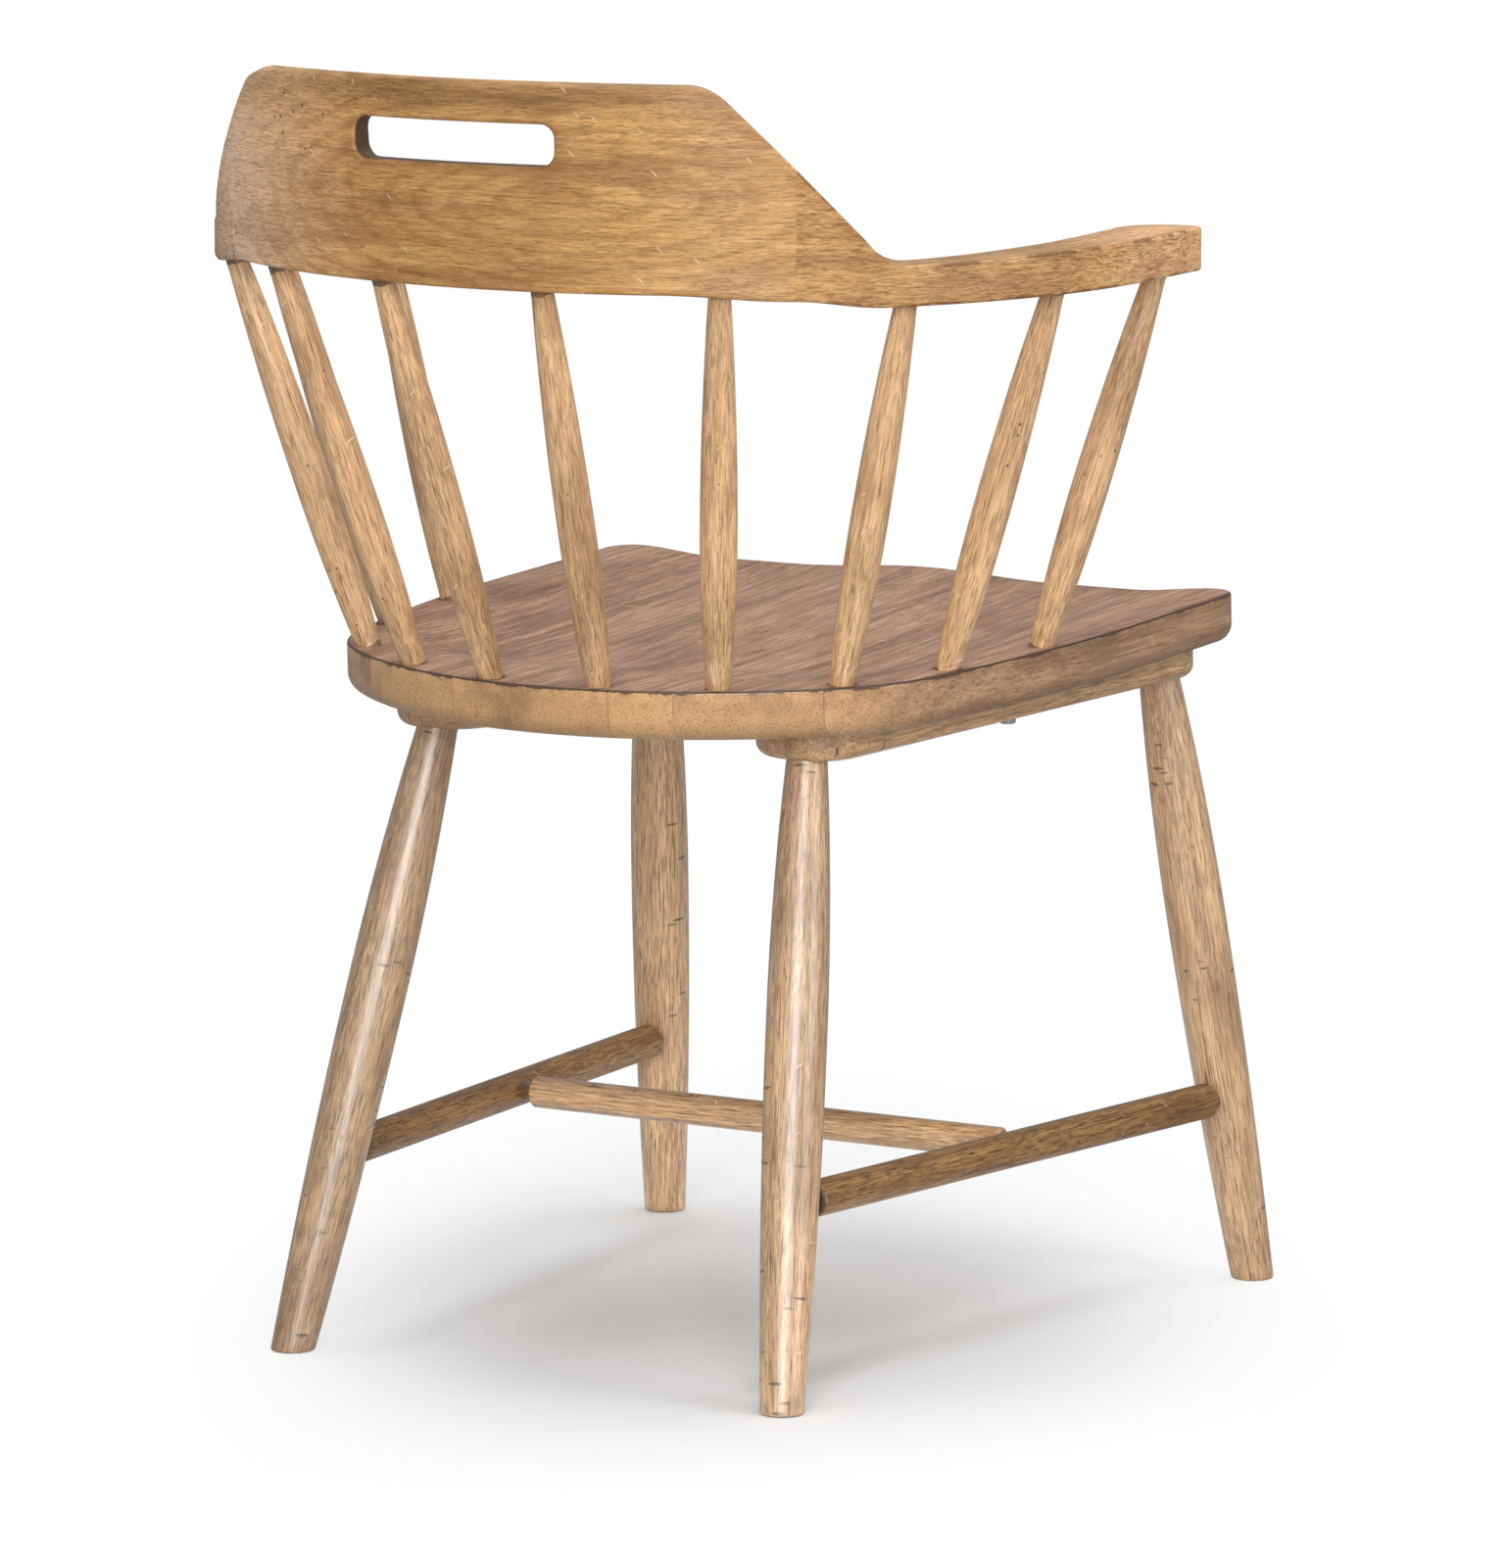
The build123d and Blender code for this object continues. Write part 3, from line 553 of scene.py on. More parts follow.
def bow(place, belly, belly_radius, end, end_radius):
    """Radius on the arc that leaves the belly parallel to the axis and ends at end."""
    drop, run = belly_radius - end_radius, abs(end - belly)
    big = (drop * drop + run * run) / (2 * drop)
    return belly_radius - (big - math.sqrt(big * big - (place - belly) ** 2))


def seat_point(x, y, z=0.0):
    """Chair coordinates of points given in the seat's plane."""
    x, y, z = np.broadcast_arrays(np.asarray(x, float), y, z)
    cos, sin = math.cos(SEAT_TILT), math.sin(SEAT_TILT)
    return np.stack([x, y * cos + z * sin, SEAT_HEIGHT - y * sin + z * cos], axis=-1)


def compass(heading):
    """Plan directions along a heading, which is clockwise from +X, and to its left."""
    cos, sin = math.cos(heading), math.sin(heading)
    return np.array([cos, -sin]), np.array([sin, cos])


class Chain:
    """Plan line of arcs and straights, read by length. Steps are (radius, turn): a negative radius
    turns left, and radius 0 is a straight of that length."""

    def __init__(self, start, steps, heading=0.0):
        self.parts = []
        here = np.asarray(start, float)
        for radius, amount in steps:
            if radius:
                centre = here - radius * compass(heading)[1]
                self.parts.append((abs(radius) * amount, radius, centre, heading))
                heading += math.copysign(amount, radius)
                here = centre + radius * compass(heading)[1]
            else:
                self.parts.append((amount, 0.0, here, heading))
                here = here + amount * compass(heading)[0]
        self.end = here
        self.length = sum(part[0] for part in self.parts)

    def at(self, distance):
        """Point at a distance from the start, and the normal on the right of the line there."""
        for length, radius, origin, heading in self.parts:
            if distance <= length:
                break
            distance -= length
        else:
            distance += length
        ahead, left = compass(heading + distance / radius if radius else heading)
        return origin + (radius * left if radius else distance * ahead), -left

    def sample(self, count):
        """Points and right-hand normals at even steps over the whole line."""
        found = [self.at(distance) for distance in np.linspace(0, self.length, count)]
        return np.array([point for point, _ in found]), np.array([normal for _, normal in found])


def distance_to(points, marks, most=FAR):
    """Distance of every point from the nearest of the marks, no more than most."""
    tree = KDTree(len(marks))
    for index, mark in enumerate(marks):
        tree.insert(mark, index)
    tree.balance()
    flat = np.asarray(points).reshape(-1, 3)
    found = np.array([tree.find(point)[2] for point in flat])
    return np.minimum(found, most).reshape(np.shape(points)[:-1])


def circle(centre, normal, radius, count=24):
    """Points round a circle, as marks for a joint line."""
    first, second = axes_of(unit(normal))
    turn = np.linspace(0, 2 * math.pi, count, endpoint=False)[:, None]
    return np.asarray(centre) + radius * (np.cos(turn) * first + np.sin(turn) * second)


# Spindles
seat_steps = [(radius, math.radians(sweep)) for radius, sweep in SEAT_ARCS]
seat_side_y = Chain((0.0, SEAT_REAR_Y), seat_steps).end[1]
foot_line = Chain((0.0, SEAT_REAR_Y - SPINDLE_INSET), [
    *((radius - SPINDLE_INSET, sweep) for radius, sweep in seat_steps),
    (0.0, seat_side_y - SEAT_FRONT_Y),
])
top_line = Chain((0.0, RAIL_CENTRE_Y + RAIL_RADIUS), [
    (RAIL_RADIUS, RAIL_SWEEP),
    (RAIL_CORNER_RADIUS, math.pi / 2 - RAIL_SWEEP),
    (0.0, RAIL_CENTRE_Y - SEAT_FRONT_Y),
])
seat_normal = seat_point(0.0, 0.0, 1.0) - seat_point(0.0, 0.0)


def spindle_stations(length):
    """Distances from the visible foot and radii, from the foot's tenon to the top's."""
    foot_radius, belly_radius, top_radius = SPINDLE_RADII
    low, high = SPINDLE_STRAIGHT, length - SPINDLE_STRAIGHT
    stations = [(place, foot_radius) for place in (-SPINDLE_TENONS[0], -1.0, 1.0)]
    for place in np.linspace(low, SPINDLE_BELLY, 22):
        stations.append((place, bow(place, SPINDLE_BELLY, belly_radius, low, foot_radius)))
    for place in np.linspace(SPINDLE_BELLY, high, 36)[1:]:
        stations.append((place, bow(place, SPINDLE_BELLY, belly_radius, high, top_radius)))
    return stations + [(length + past, top_radius) for past in (-1.0, 1.0, SPINDLE_TENONS[1])]


foot_marks = []
for number, (foot_run, top_run) in enumerate(zip(SPINDLE_FEET, SPINDLE_TOPS), 1):
    foot_at, top_at = foot_line.at(foot_run)[0], top_line.at(top_run)[0]
    rail_bottom = CREST_BOTTOM if top_run < RAIL_SWEEP * RAIL_RADIUS else ARM_BOTTOM
    for name, side in SIDES:
        foot = seat_point(foot_at[0] * side, foot_at[1])
        top = np.array([top_at[0] * side, top_at[1], rail_bottom])
        length, axis = np.linalg.norm(top - foot), unit(top - foot)
        rings, grain = lathe(foot, axis, spindle_stations(length), 40)
        along = (rings - foot) @ axis
        edge = np.minimum(along, length - along)
        add_wood(f"spindle_{name}_{number}", spindle_wood, rings, grain, edge, **SPINDLE_LOOK)
        foot_marks.append(circle(foot, seat_normal, SPINDLE_RADII[0]))


# Legs
def leg_radius(place, length):
    foot_radius, belly_radius, top_radius = LEG_RADII
    belly, high = length - LEG_BELLY_DROP, length - LEG_STRAIGHT
    if place < belly:
        return bow(place, belly, belly_radius, -LEG_SPARE, foot_radius)
    return bow(place, belly, belly_radius, high, top_radius) if place < high else top_radius


leg_lines = {}
for end, (foot_place, top_place) in LEG_ENDS.items():
    for name, side in SIDES:
        foot = np.array([foot_place[0] * side, foot_place[1], 0.0])
        top = seat_point(top_place[0] * side, top_place[1], -SEAT_THICKNESS - CLEAT_THICKNESS)
        leg_lines[end, name] = (foot, unit(top - foot), np.linalg.norm(top - foot))


def leg_joint(end, name):
    """Point of a leg's axis at stretcher height, the axis, and the leg's radius there."""
    foot, axis, length = leg_lines[end, name]
    place = STRETCHER_HEIGHT / axis[2]
    return foot + axis * place, axis, leg_radius(place, length)


def leg_clearance(run, axis, radius):
    """Distance from a leg's axis to the shoulder of a stretcher that leaves it along run."""
    lean = math.asin(abs(run @ axis))
    return radius / math.cos(lean) + SIDE_TENON_RADIUS * math.tan(lean) + SIDE_GAP


side_lines = {}                # start, direction, length, and the length of either tenon
for name, side in SIDES:
    rear, rear_axis, rear_radius = leg_joint("rear", name)
    front, front_axis, front_radius = leg_joint("front", name)
    run = unit(front - rear)
    start = rear + run * (rear_radius - SIDE_TENON)
    stop = front - run * (front_radius - SIDE_TENON)
    first = SIDE_TENON - rear_radius + leg_clearance(run, rear_axis, rear_radius)
    last = SIDE_TENON - front_radius + leg_clearance(run, front_axis, front_radius)
    side_lines[name] = (start, run, np.linalg.norm(stop - start), first, last)


def leg_stations(length):
    """Distances from the foot and radii, from the rounded foot to the tenon's end."""
    stations = [(0.0, leg_radius(0.0, length) - LEG_FOOT_ROUND)]
    for place, inset in rounding(LEG_FOOT_ROUND, (20.0, 40.0, 60.0, 75.0)):
        stations.append((place, leg_radius(place, length) - inset))
    for place in np.linspace(LEG_FOOT_ROUND, length - LEG_STRAIGHT, 84):
        stations.append((place, leg_radius(place, length)))
    return stations + [(length + past, LEG_RADII[2]) for past in (-1.0, LEG_TENON)]


for (end, name), (foot, axis, length) in leg_lines.items():
    stations = leg_stations(length)
    rings, grain = lathe(foot, axis, stations, 56)
    places = np.array([place for place, _ in stations])[:, None, None]
    level = np.clip(1 - places / LEG_LEVELLED, 0.0, 1.0)
    rise = (rings - (foot + places * axis))[..., 2:3]
    rings = rings - level * rise / axis[2] * axis
    start, run = side_lines[name][:2]
    joint = leg_joint(end, name)[0]
    towards = run if end == "rear" else -run
    beside = np.linalg.norm(np.cross(rings - start, run), axis=-1) - SIDE_TENON_RADIUS
    beside = np.where((rings - joint) @ towards > 0, np.maximum(beside, 0.0), FAR)
    along = np.broadcast_to(places[..., 0], beside.shape)
    shown = length - CLEAT_SHOWN + CLEAT_THICKNESS
    edge = np.minimum(np.minimum(beside, shown - along), along + 1.0)
    look = {"spread": LEG_SPREAD, "tone": LEG_PAINTED_LIGHT[end, name], "fade": LEG_SHEEN_FADE}
    add_wood(f"leg_{end}_{name}", leg_wood, rings, grain, edge, **look)


# Stretchers
def bar_stations(length, first_end, last_end):
    """Stations of a bar between two ends, each a list of (distance from it, radius) up to the full bar."""
    (first, radius), (last, _) = first_end[-1], last_end[-1]
    straight = [(place, radius) for place in np.linspace(first, length - last, 60)[1:-1]]
    return first_end + straight + [(length - place, size) for place, size in reversed(last_end)]


def side_end(tenon):
    """Tenon and rounded end of a side stretcher."""
    turn_in = rounding(SIDE_ROUND, np.arange(0.0, 91.0, 15.0))
    end = [(0.0, SIDE_TENON_RADIUS), (tenon, SIDE_TENON_RADIUS)]
    return end + [(tenon + step, SIDE_RADIUS - inset) for step, inset in turn_in]


cross_ends = {}
for name, side in SIDES:
    start, run, length, first, last = side_lines[name]
    cross_ends[name] = start + run * ((CROSS_Y - start[1]) / run[1])
    rings, grain = lathe(start, run, bar_stations(length, side_end(first), side_end(last)), 40)
    along = (rings - start) @ run
    ends = np.minimum(along - first, length - last - along) - 1.0
    off = rings - cross_ends[name]
    beside = np.linalg.norm(off[..., 1:], axis=-1) - CROSS_TENON_RADIUS
    beside = np.where(off[..., 0] * side < 0, np.maximum(beside, 0.0), FAR)
    edge = np.minimum(ends, beside)
    add_wood(f"side_stretcher_{name}", stretcher_wood, rings, grain, edge, tone=SIDE_STRETCHER_TONE)

inward = np.array([-1.0, 0.0, 0.0])
start = cross_ends["left"] + inward * (SIDE_RADIUS - CROSS_TENON)
stop = cross_ends["right"] - inward * (SIDE_RADIUS - CROSS_TENON)
length = np.linalg.norm(stop - start)
shoulder = CROSS_TENON + CROSS_NECK
cross_end = [(place, CROSS_TENON_RADIUS) for place in (0.0, shoulder)]
cross_end += [(shoulder, CROSS_RADIUS - CROSS_CHAMFER), (shoulder + CROSS_CHAMFER, CROSS_RADIUS)]
rings, grain = lathe(start, inward, bar_stations(length, cross_end, cross_end), 40)
along = (rings - start) @ inward
edge = np.minimum(along, length - along) - shoulder - 1.0
add_wood("cross_stretcher", leg_wood, rings, grain, edge, **CROSS_LOOK)


# Cleats, screws and dowels
def joined(parts):
    """One set of points, faces and layers from several."""
    points, faces, layers, offset = [], [], {}, 0
    for part_points, part_faces, part_layers in parts:
        points.append(part_points)
        faces += [[index + offset for index in face] for face in part_faces]
        for key, values in part_layers.items():
            layers.setdefault(key, []).append(values)
        offset += len(part_points)
    return np.vstack(points), faces, {key: np.vstack(values) for key, values in layers.items()}


def rounded_box(width, length, corner, per_corner=12, per_side=30):
    """Outline points of a rounded rectangle and their outward normals."""
    points, normals = [], []
    for turn, sx, sy in ((0, 1, 1), (1, -1, 1), (2, -1, -1), (3, 1, -1)):
        centre = np.array([sx * (width / 2 - corner), sy * (length / 2 - corner)])
        for angle in np.linspace(0, math.pi / 2, per_corner) + turn * math.pi / 2:
            out = np.array([math.cos(angle), math.sin(angle)])
            points.append(centre + corner * out)
            normals.append(out)
        following = np.array([(-sy) * (width / 2 - corner), sx * (length / 2 - corner)])
        for share in np.linspace(0, 1, per_side)[1:-1]:
            points.append(centre + (following - centre) * share + corner * out)
            normals.append(out)
    return np.array(points), np.array(normals)


def screw_stations():
    """Distances along a screw from the cleat's face and radii, from the recess in its head to its tip."""
    radius, height, corner = SCREW_HEAD
    recess_bottom, recess_top, recess = SCREW_RECESS
    stations = [(recess - height, recess_bottom), (-height, recess_top), (-height, radius - corner)]
    for rise, inset in rounding(corner, (25.0, 50.0, 75.0, 90.0)):
        stations.append((rise - height, radius - inset))
    return stations + [(0.0, radius), (0.0, SCREW_RADIUS), (SCREW_LENGTH, SCREW_RADIUS)]


CLEAT_LEVELS = [               # inset from the outline and drop below the seat
    (CLEAT_ROUND, 0.0), (3.0, 0.0), (0.0, 0.0), (0.0, 4.0), (0.0, 8.0),
    *((inset, CLEAT_SHOWN - lift) for inset, lift in rounding(CLEAT_ROUND, np.linspace(0, 90, 9))),
    (CLEAT_ROUND + 4.0, CLEAT_SHOWN), (CLEAT_CORNER - 0.5, CLEAT_SHOWN),
]
CLEAT_ARRIS = 2                # the level that lies along the seat
screws = []
for name, side in SIDES:
    rear, front = (np.array(LEG_ENDS[end][1]) * (side, 1.0) for end in ("rear", "front"))
    run = unit(rear - front)
    across = np.array([run[1], -run[0]])
    middle = (rear + front) / 2 - across * (CLEAT_OFFSET * side)
    centre = middle + run * (CLEAT_OVERHANG[0] - CLEAT_OVERHANG[1]) / 2
    plan, out = rounded_box(CLEAT_WIDTH, np.linalg.norm(rear - front) + sum(CLEAT_OVERHANG), CLEAT_CORNER)
    rings, grain = [], []
    for inset, drop in CLEAT_LEVELS:
        local = plan - out * inset
        flat = centre + local[:, :1] * across + local[:, 1:] * run
        rings.append(seat_point(flat[:, 0], flat[:, 1], -SEAT_THICKNESS - drop))
        grain.append(np.column_stack([local[:, 0], np.full(len(local), -drop), local[:, 1]]))
    rings, grain = np.array(rings), np.array(grain) + pith()
    marks = [rings[CLEAT_ARRIS]]
    for end in LEG_ENDS:
        foot, axis, length = leg_lines[end, name]
        marks.append(circle(foot + axis * (length - CLEAT_SHOWN + CLEAT_THICKNESS), axis, LEG_RADII[2]))
    add_wood(f"cleat_{name}", leg_wood, rings, grain, distance_to(rings, np.vstack(marks)), tone=CLEAT_TONE)
    for stop, outboard in ((0.0, 1), (SCREW_SPACING, -1), (-SCREW_SPACING, -1)):
        flat = middle + run * stop + across * (SCREW_STAGGER * outboard * side)
        head = seat_point(flat[0], flat[1], -SEAT_THICKNESS - CLEAT_SHOWN)
        rings, _ = lathe(head, seat_normal, screw_stations(), 32)
        screws.append(capped(rings, {}))
add_piece("cleat_screws", "steel", screw_steel, *joined(screws))

seam_along, seam_outward = compass(RAIL_SWEEP)
seam_middle = np.array([0.0, RAIL_CENTRE_Y]) + seam_outward * RAIL_RADIUS
dowel_radius, dowel_length, dowel_heights = DOWEL
dowels = []
for name, side in SIDES:
    for height in dowel_heights:
        axis = np.array([seam_along[0] * side, seam_along[1], 0.0])
        start = np.array([seam_middle[0] * side, seam_middle[1], height]) - axis * dowel_length / 2
        stations = [(dowel_length * share, dowel_radius) for share in (0.0, 0.5, 1.0)]
        rings, grain = lathe(start, axis, stations, 24)
        dowels.append(capped(rings, wood_layers(grain, np.full(grain.shape[:-1], FAR))))
add_piece("arm_dowels", "frame_wood", leg_wood, *joined(dowels))


# Seat
def hermite(where, places, values):
    """Smooth curve through values at rising places."""
    slopes = np.gradient(values, places)
    spot = np.clip(np.searchsorted(places, where) - 1, 0, len(places) - 2)
    step = places[spot + 1] - places[spot]
    share = np.clip((where - places[spot]) / step, 0.0, 1.0)
    left = 1 - share
    low = left ** 2 * ((1 + 2 * share) * values[spot] + share * step * slopes[spot])
    high = share ** 2 * ((3 - 2 * share) * values[spot + 1] - left * step * slopes[spot + 1])
    return low + high


half_line = Chain((0.0, SEAT_REAR_Y), [
    *seat_steps,
    (0.0, seat_side_y - SEAT_FRONT_Y - SEAT_FRONT_RADIUS),
    (SEAT_FRONT_RADIUS, math.pi / 2),
])
half_points, half_normals = half_line.sample(300)
front_x = np.linspace(half_points[-1][0], 0.0, 60)[1:]
half_points = np.vstack([half_points, np.column_stack([front_x, np.full(len(front_x), SEAT_FRONT_Y)])])
half_normals = np.vstack([half_normals, np.tile([0.0, 1.0], (len(front_x), 1))])
flip = np.array([-1.0, 1.0])
seat_outline = np.vstack([half_points, half_points[-2:0:-1] * flip])
seat_inward = np.vstack([half_normals, half_normals[-2:0:-1] * flip])
rim_points = seat_outline[seat_outline[:, 1] > SEAT_FRONT_Y + SEAT_FRONT_RADIUS]
rim_marks = np.column_stack([rim_points, np.zeros(len(rim_points))])


def saddle(plan):
    """Height of the hollowed top against the seat's plane, at plan points."""
    places, hollows, ridges = np.array(SADDLE_STATIONS[::-1]).T
    hollow, ridge = (hermite(plan[:, 1], places, depths) for depths in (hollows, ridges))
    depth = ridge + (hollow - ridge) * smooth(np.abs(plan[:, 0]) / SADDLE_HOLLOW_X)
    rim, slope = SADDLE_RIM
    away = distance_to(np.column_stack([plan, np.zeros(len(plan))]), rim_marks, math.inf)
    return -depth * smooth((away - rim) / slope)


SEAT_MIDDLE = np.array([0.0, 20.0])
SEAT_REACH = 230.0             # the inset at which all rings would meet in the middle
TOP_INSETS = (
    0.0, 1.0, 2.0, 3.5, 5.5, 8.0, 11.0, 14.0, 17.0, 21.0, 26.0, 32.0, 39.0, 47.0, 56.0, 66.0,
    78.0, 92.0, 108.0, 126.0, 146.0, 168.0, 192.0, 216.0,
)
RIM_SHARES = (0.06, 0.14, 0.24, 0.36, 0.5, 0.65, 0.82, 1.0)
UNDER_INSETS = (20.0, 60.0, 120.0, 190.0)


def drawn_in(rim, inset):
    """Plan points of a rim moved towards the seat's middle."""
    return SEAT_MIDDLE + (rim - SEAT_MIDDLE) * (1 - inset / SEAT_REACH)


def seat_ring(plan, height):
    return np.column_stack([plan, np.broadcast_to(height, len(plan))])


seat_rings = []
for inset in reversed(TOP_INSETS):
    plan = drawn_in(seat_outline + seat_inward * SEAT_TOP_ROUND, inset)
    seat_rings.append(seat_ring(plan, saddle(plan)))
brim = seat_rings[-1][:, 2]
for drop, inset in rounding(SEAT_TOP_ROUND, (22.5, 45.0, 67.5, 90.0)):
    seat_rings.append(seat_ring(seat_outline + seat_inward * inset, brim - drop))
low = SEAT_BOTTOM_ROUND - SEAT_THICKNESS
for share in RIM_SHARES:
    seat_rings.append(seat_ring(seat_outline, brim + (low - brim) * share - SEAT_TOP_ROUND * (1 - share)))
for inset, lift in rounding(SEAT_BOTTOM_ROUND, np.linspace(10, 90, 9)):
    seat_rings.append(seat_ring(seat_outline + seat_inward * inset, lift - SEAT_THICKNESS))
for inset in UNDER_INSETS:
    plan = drawn_in(seat_outline + seat_inward * SEAT_BOTTOM_ROUND, inset)
    seat_rings.append(seat_ring(plan, -SEAT_THICKNESS))
seat_rings = np.array(seat_rings)
seat_y, seat_z = seat_rings[..., 1], seat_rings[..., 2]
placed = seat_point(seat_rings[..., 0], seat_y, seat_z)
arris = placed[len(TOP_INSETS) + 1]

TOP_TONE = 0.31
RIM_TONE = (0.03, 110.0, 130.0)    # change towards the rear, and the y where it starts and its width
RIM_FADE = (0.62, 110.0, 130.0)
RIM_LEAST_FADE = 0.24
SEAT_UNDER_SHADE = (-0.20, -SEAT_THICKNESS / 2, -13.0)   # painted shade: darker below mid height, over the lower rim and the underside
RIM_PAINTED_HIGHLIGHT = (0.16, -4.5, 3.0)      # painted highlight along the upper rear rim: its strength, height and spread
# how the painted highlight grows towards the rear
RIM_HIGHLIGHT_REAR = (1.0, 100.0, 120.0)
on_rim = (np.arange(len(seat_rings)) > len(TOP_INSETS))[:, None]
highlight_strength, highlight_z, highlight_spread = RIM_PAINTED_HIGHLIGHT
# painted highlight: a brighter band along the upper rear rim
painted_highlight = highlight_strength * np.exp(-((seat_z - highlight_z) / highlight_spread) ** 2) * ramps(seat_y, 0.0, RIM_HIGHLIGHT_REAR)
points, faces, layers = capped(placed, {
    "grain": seat_rings[..., [0, 2, 1]],
    "edge": distance_to(placed, np.vstack([arris, *foot_marks])),
    "fade": np.where(on_rim, ramps(seat_y, RIM_LEAST_FADE, RIM_FADE), 0.0),
    "tone": np.where(on_rim, ramps(seat_y, 0.0, RIM_TONE) + painted_highlight, TOP_TONE) + ramps(seat_z, 0.0, SEAT_UNDER_SHADE),
})
plank = new_mesh("plank", points, faces, layers)
board_limits = (-SEAT_BEYOND, *SEAT_SEAMS, SEAT_BEYOND)
for number, (low, high) in enumerate(zip(board_limits, board_limits[1:]), 1):
    work = bmesh.new()
    work.from_mesh(plank)
    for limit, direction in ((low, -1.0), (high, 1.0)):
        cut = bmesh.ops.bisect_plane(
            work, geom=work.verts[:] + work.edges[:] + work.faces[:], dist=1e-7, clear_outer=True,
            plane_co=(limit * MM, 0.0, 0.0), plane_no=(direction, 0.0, 0.0),
        )
        rim = [item for item in cut["geom_cut"] if isinstance(item, bmesh.types.BMEdge)]
        if rim:
            bmesh.ops.edgeloop_fill(work, edges=rim)
    node = f"seat_board_{number}"
    mesh = bpy.data.meshes.new(node)
    work.to_mesh(mesh)
    work.free()
    grain = get_layer(mesh, "grain", 3)
    put_layer(mesh, "seam", np.minimum(grain[:, 0] - low, high - grain[:, 0]))
    grain = (grain + pith()).astype(np.float32)
    put_layer(mesh, "grain", grain)
    put_layer(mesh, "ring", np.linalg.norm(grain[:, :2], axis=1))
    put_layer(mesh, "tone", get_layer(mesh, "tone", 1) + chance.uniform(-BOARD_SPREAD, BOARD_SPREAD))
    dress(mesh, node, "seat_wood", seat_wood)
bpy.data.meshes.remove(plank)


# Crest board
EIGHTH = math.tan(math.pi / 8)
SLOPE_TOP = SHOULDER_SEAM - CREST_TOP - SHOULDER_ROUNDS[0] * EIGHTH
SLOPE_END = SHOULDER_SEAM - ARM_TOP + SHOULDER_ROUNDS[1] * EIGHTH


def shoulder_top(t):
    """Height of the crest's top, the 45-degree shoulder and the arm's top at a distance t past the seam."""
    t = np.asarray(t, float)
    upper_round, lower_round = SHOULDER_ROUNDS
    upper = CREST_TOP - upper_round + np.sqrt(np.maximum(upper_round ** 2 - (t - SLOPE_TOP) ** 2, 0.0))
    lower = ARM_TOP + lower_round - np.sqrt(np.maximum(lower_round ** 2 - (t - SLOPE_END) ** 2, 0.0))
    half = math.sqrt(0.5)
    height = np.where(t < SLOPE_TOP + upper_round * half, upper, SHOULDER_SEAM - t)
    height = np.where(t > SLOPE_END - lower_round * half, lower, height)
    return np.where(t < SLOPE_TOP, CREST_TOP, np.where(t > SLOPE_END, ARM_TOP, height))


def lean(height):
    """How far the inner face leans back at a height."""
    most, power = CREST_LEAN
    return most * np.clip((height - ARM_TOP) / (CREST_TOP - ARM_TOP), 0.0, 1.0) ** power


def flare(height):
    """How far the shoulders lean outwards at a height."""
    most, over, power = SHOULDER_FLARE
    return most * np.clip((height - ARM_TOP) / over, 0.0, 1.0) ** power


SQUARED_FROM = (1.0, 0.21, 0.21)   # angles over which the crest's rings turn square to the seam
FLARED_FROM = (1.0, 0.17, 0.44)    # angles over which the shoulders start to lean outwards


def crest_angle(angle, radius):
    """Angle at a radius of a point given on the middle line; near the seams lines run square to the seam."""
    size = np.abs(angle)
    squared = RAIL_SWEEP + np.arcsin(RAIL_RADIUS * np.sin(size - RAIL_SWEEP) / radius)
    return np.sign(angle) * (size + ramps(size, 0.0, SQUARED_FROM) * (squared - size))


def shoulder_row(t):
    """Row of the crest's outline on its shoulder, at a distance t past the seam, which is 0 or less."""
    height = float(shoulder_top(t))
    slope = float(shoulder_top(t + 0.05) - shoulder_top(t - 0.05)) / 0.1 if t < 0 else -1.0
    down = np.array([slope, -1.0]) / math.hypot(slope, 1.0)
    edge = SHOULDER_EDGE + (CREST_TOP_ROUND - SHOULDER_EDGE) * (1 - float(smooth((CREST_TOP - height) / 9.0)))
    sideways = down[0] * edge if t < 0 else -SEAM_EDGE
    return (RAIL_SWEEP + math.asin(t / RAIL_RADIUS), height, sideways, down[1] * edge, edge)


# Outline rows from the bottom middle to the top middle: angle, height, inset along, inset up, rounding
bottom_rest = (CREST_BOTTOM_ROUND, CREST_BOTTOM_ROUND)
half_loop = [(angle, CREST_BOTTOM, 0.0, *bottom_rest) for angle in np.linspace(0, RAIL_SWEEP, 88)[:-1]]
half_loop.append((RAIL_SWEEP, CREST_BOTTOM, -SEAM_EDGE, *bottom_rest))
for height in np.linspace(CREST_BOTTOM + CREST_BOTTOM_ROUND + 0.5, SHOULDER_SEAM - 2 * SHOULDER_EDGE, 24):
    half_loop.append((RAIL_SWEEP, height, -SEAM_EDGE, 0.0, SEAM_EDGE))
half_loop += [shoulder_row(t) for t in np.linspace(0.0, SLOPE_TOP, 60)]
for angle in np.linspace(half_loop[-1][0], 0.0, 62)[1:]:
    half_loop.append((angle, CREST_TOP, 0.0, -CREST_TOP_ROUND, CREST_TOP_ROUND))
half_loop = np.array(half_loop)
loop = np.vstack([half_loop, half_loop[-2:0:-1] * (-1, 1, -1, 1, 1)])
loop_angle, flat_height, inset_along, inset_up, loop_round = loop.T
loop_run = loop_angle * RAIL_RADIUS
bend = ramps(loop_run, 0.0, (UNDERSIDE["left"], -120.0, 330.0), (UNDERSIDE["right"], -130.0, -80.0))
loop_height = flat_height + bend * np.clip(1 - (flat_height - CREST_BOTTOM) / UNDERSIDE_DEPTH, 0.0, 1.0)

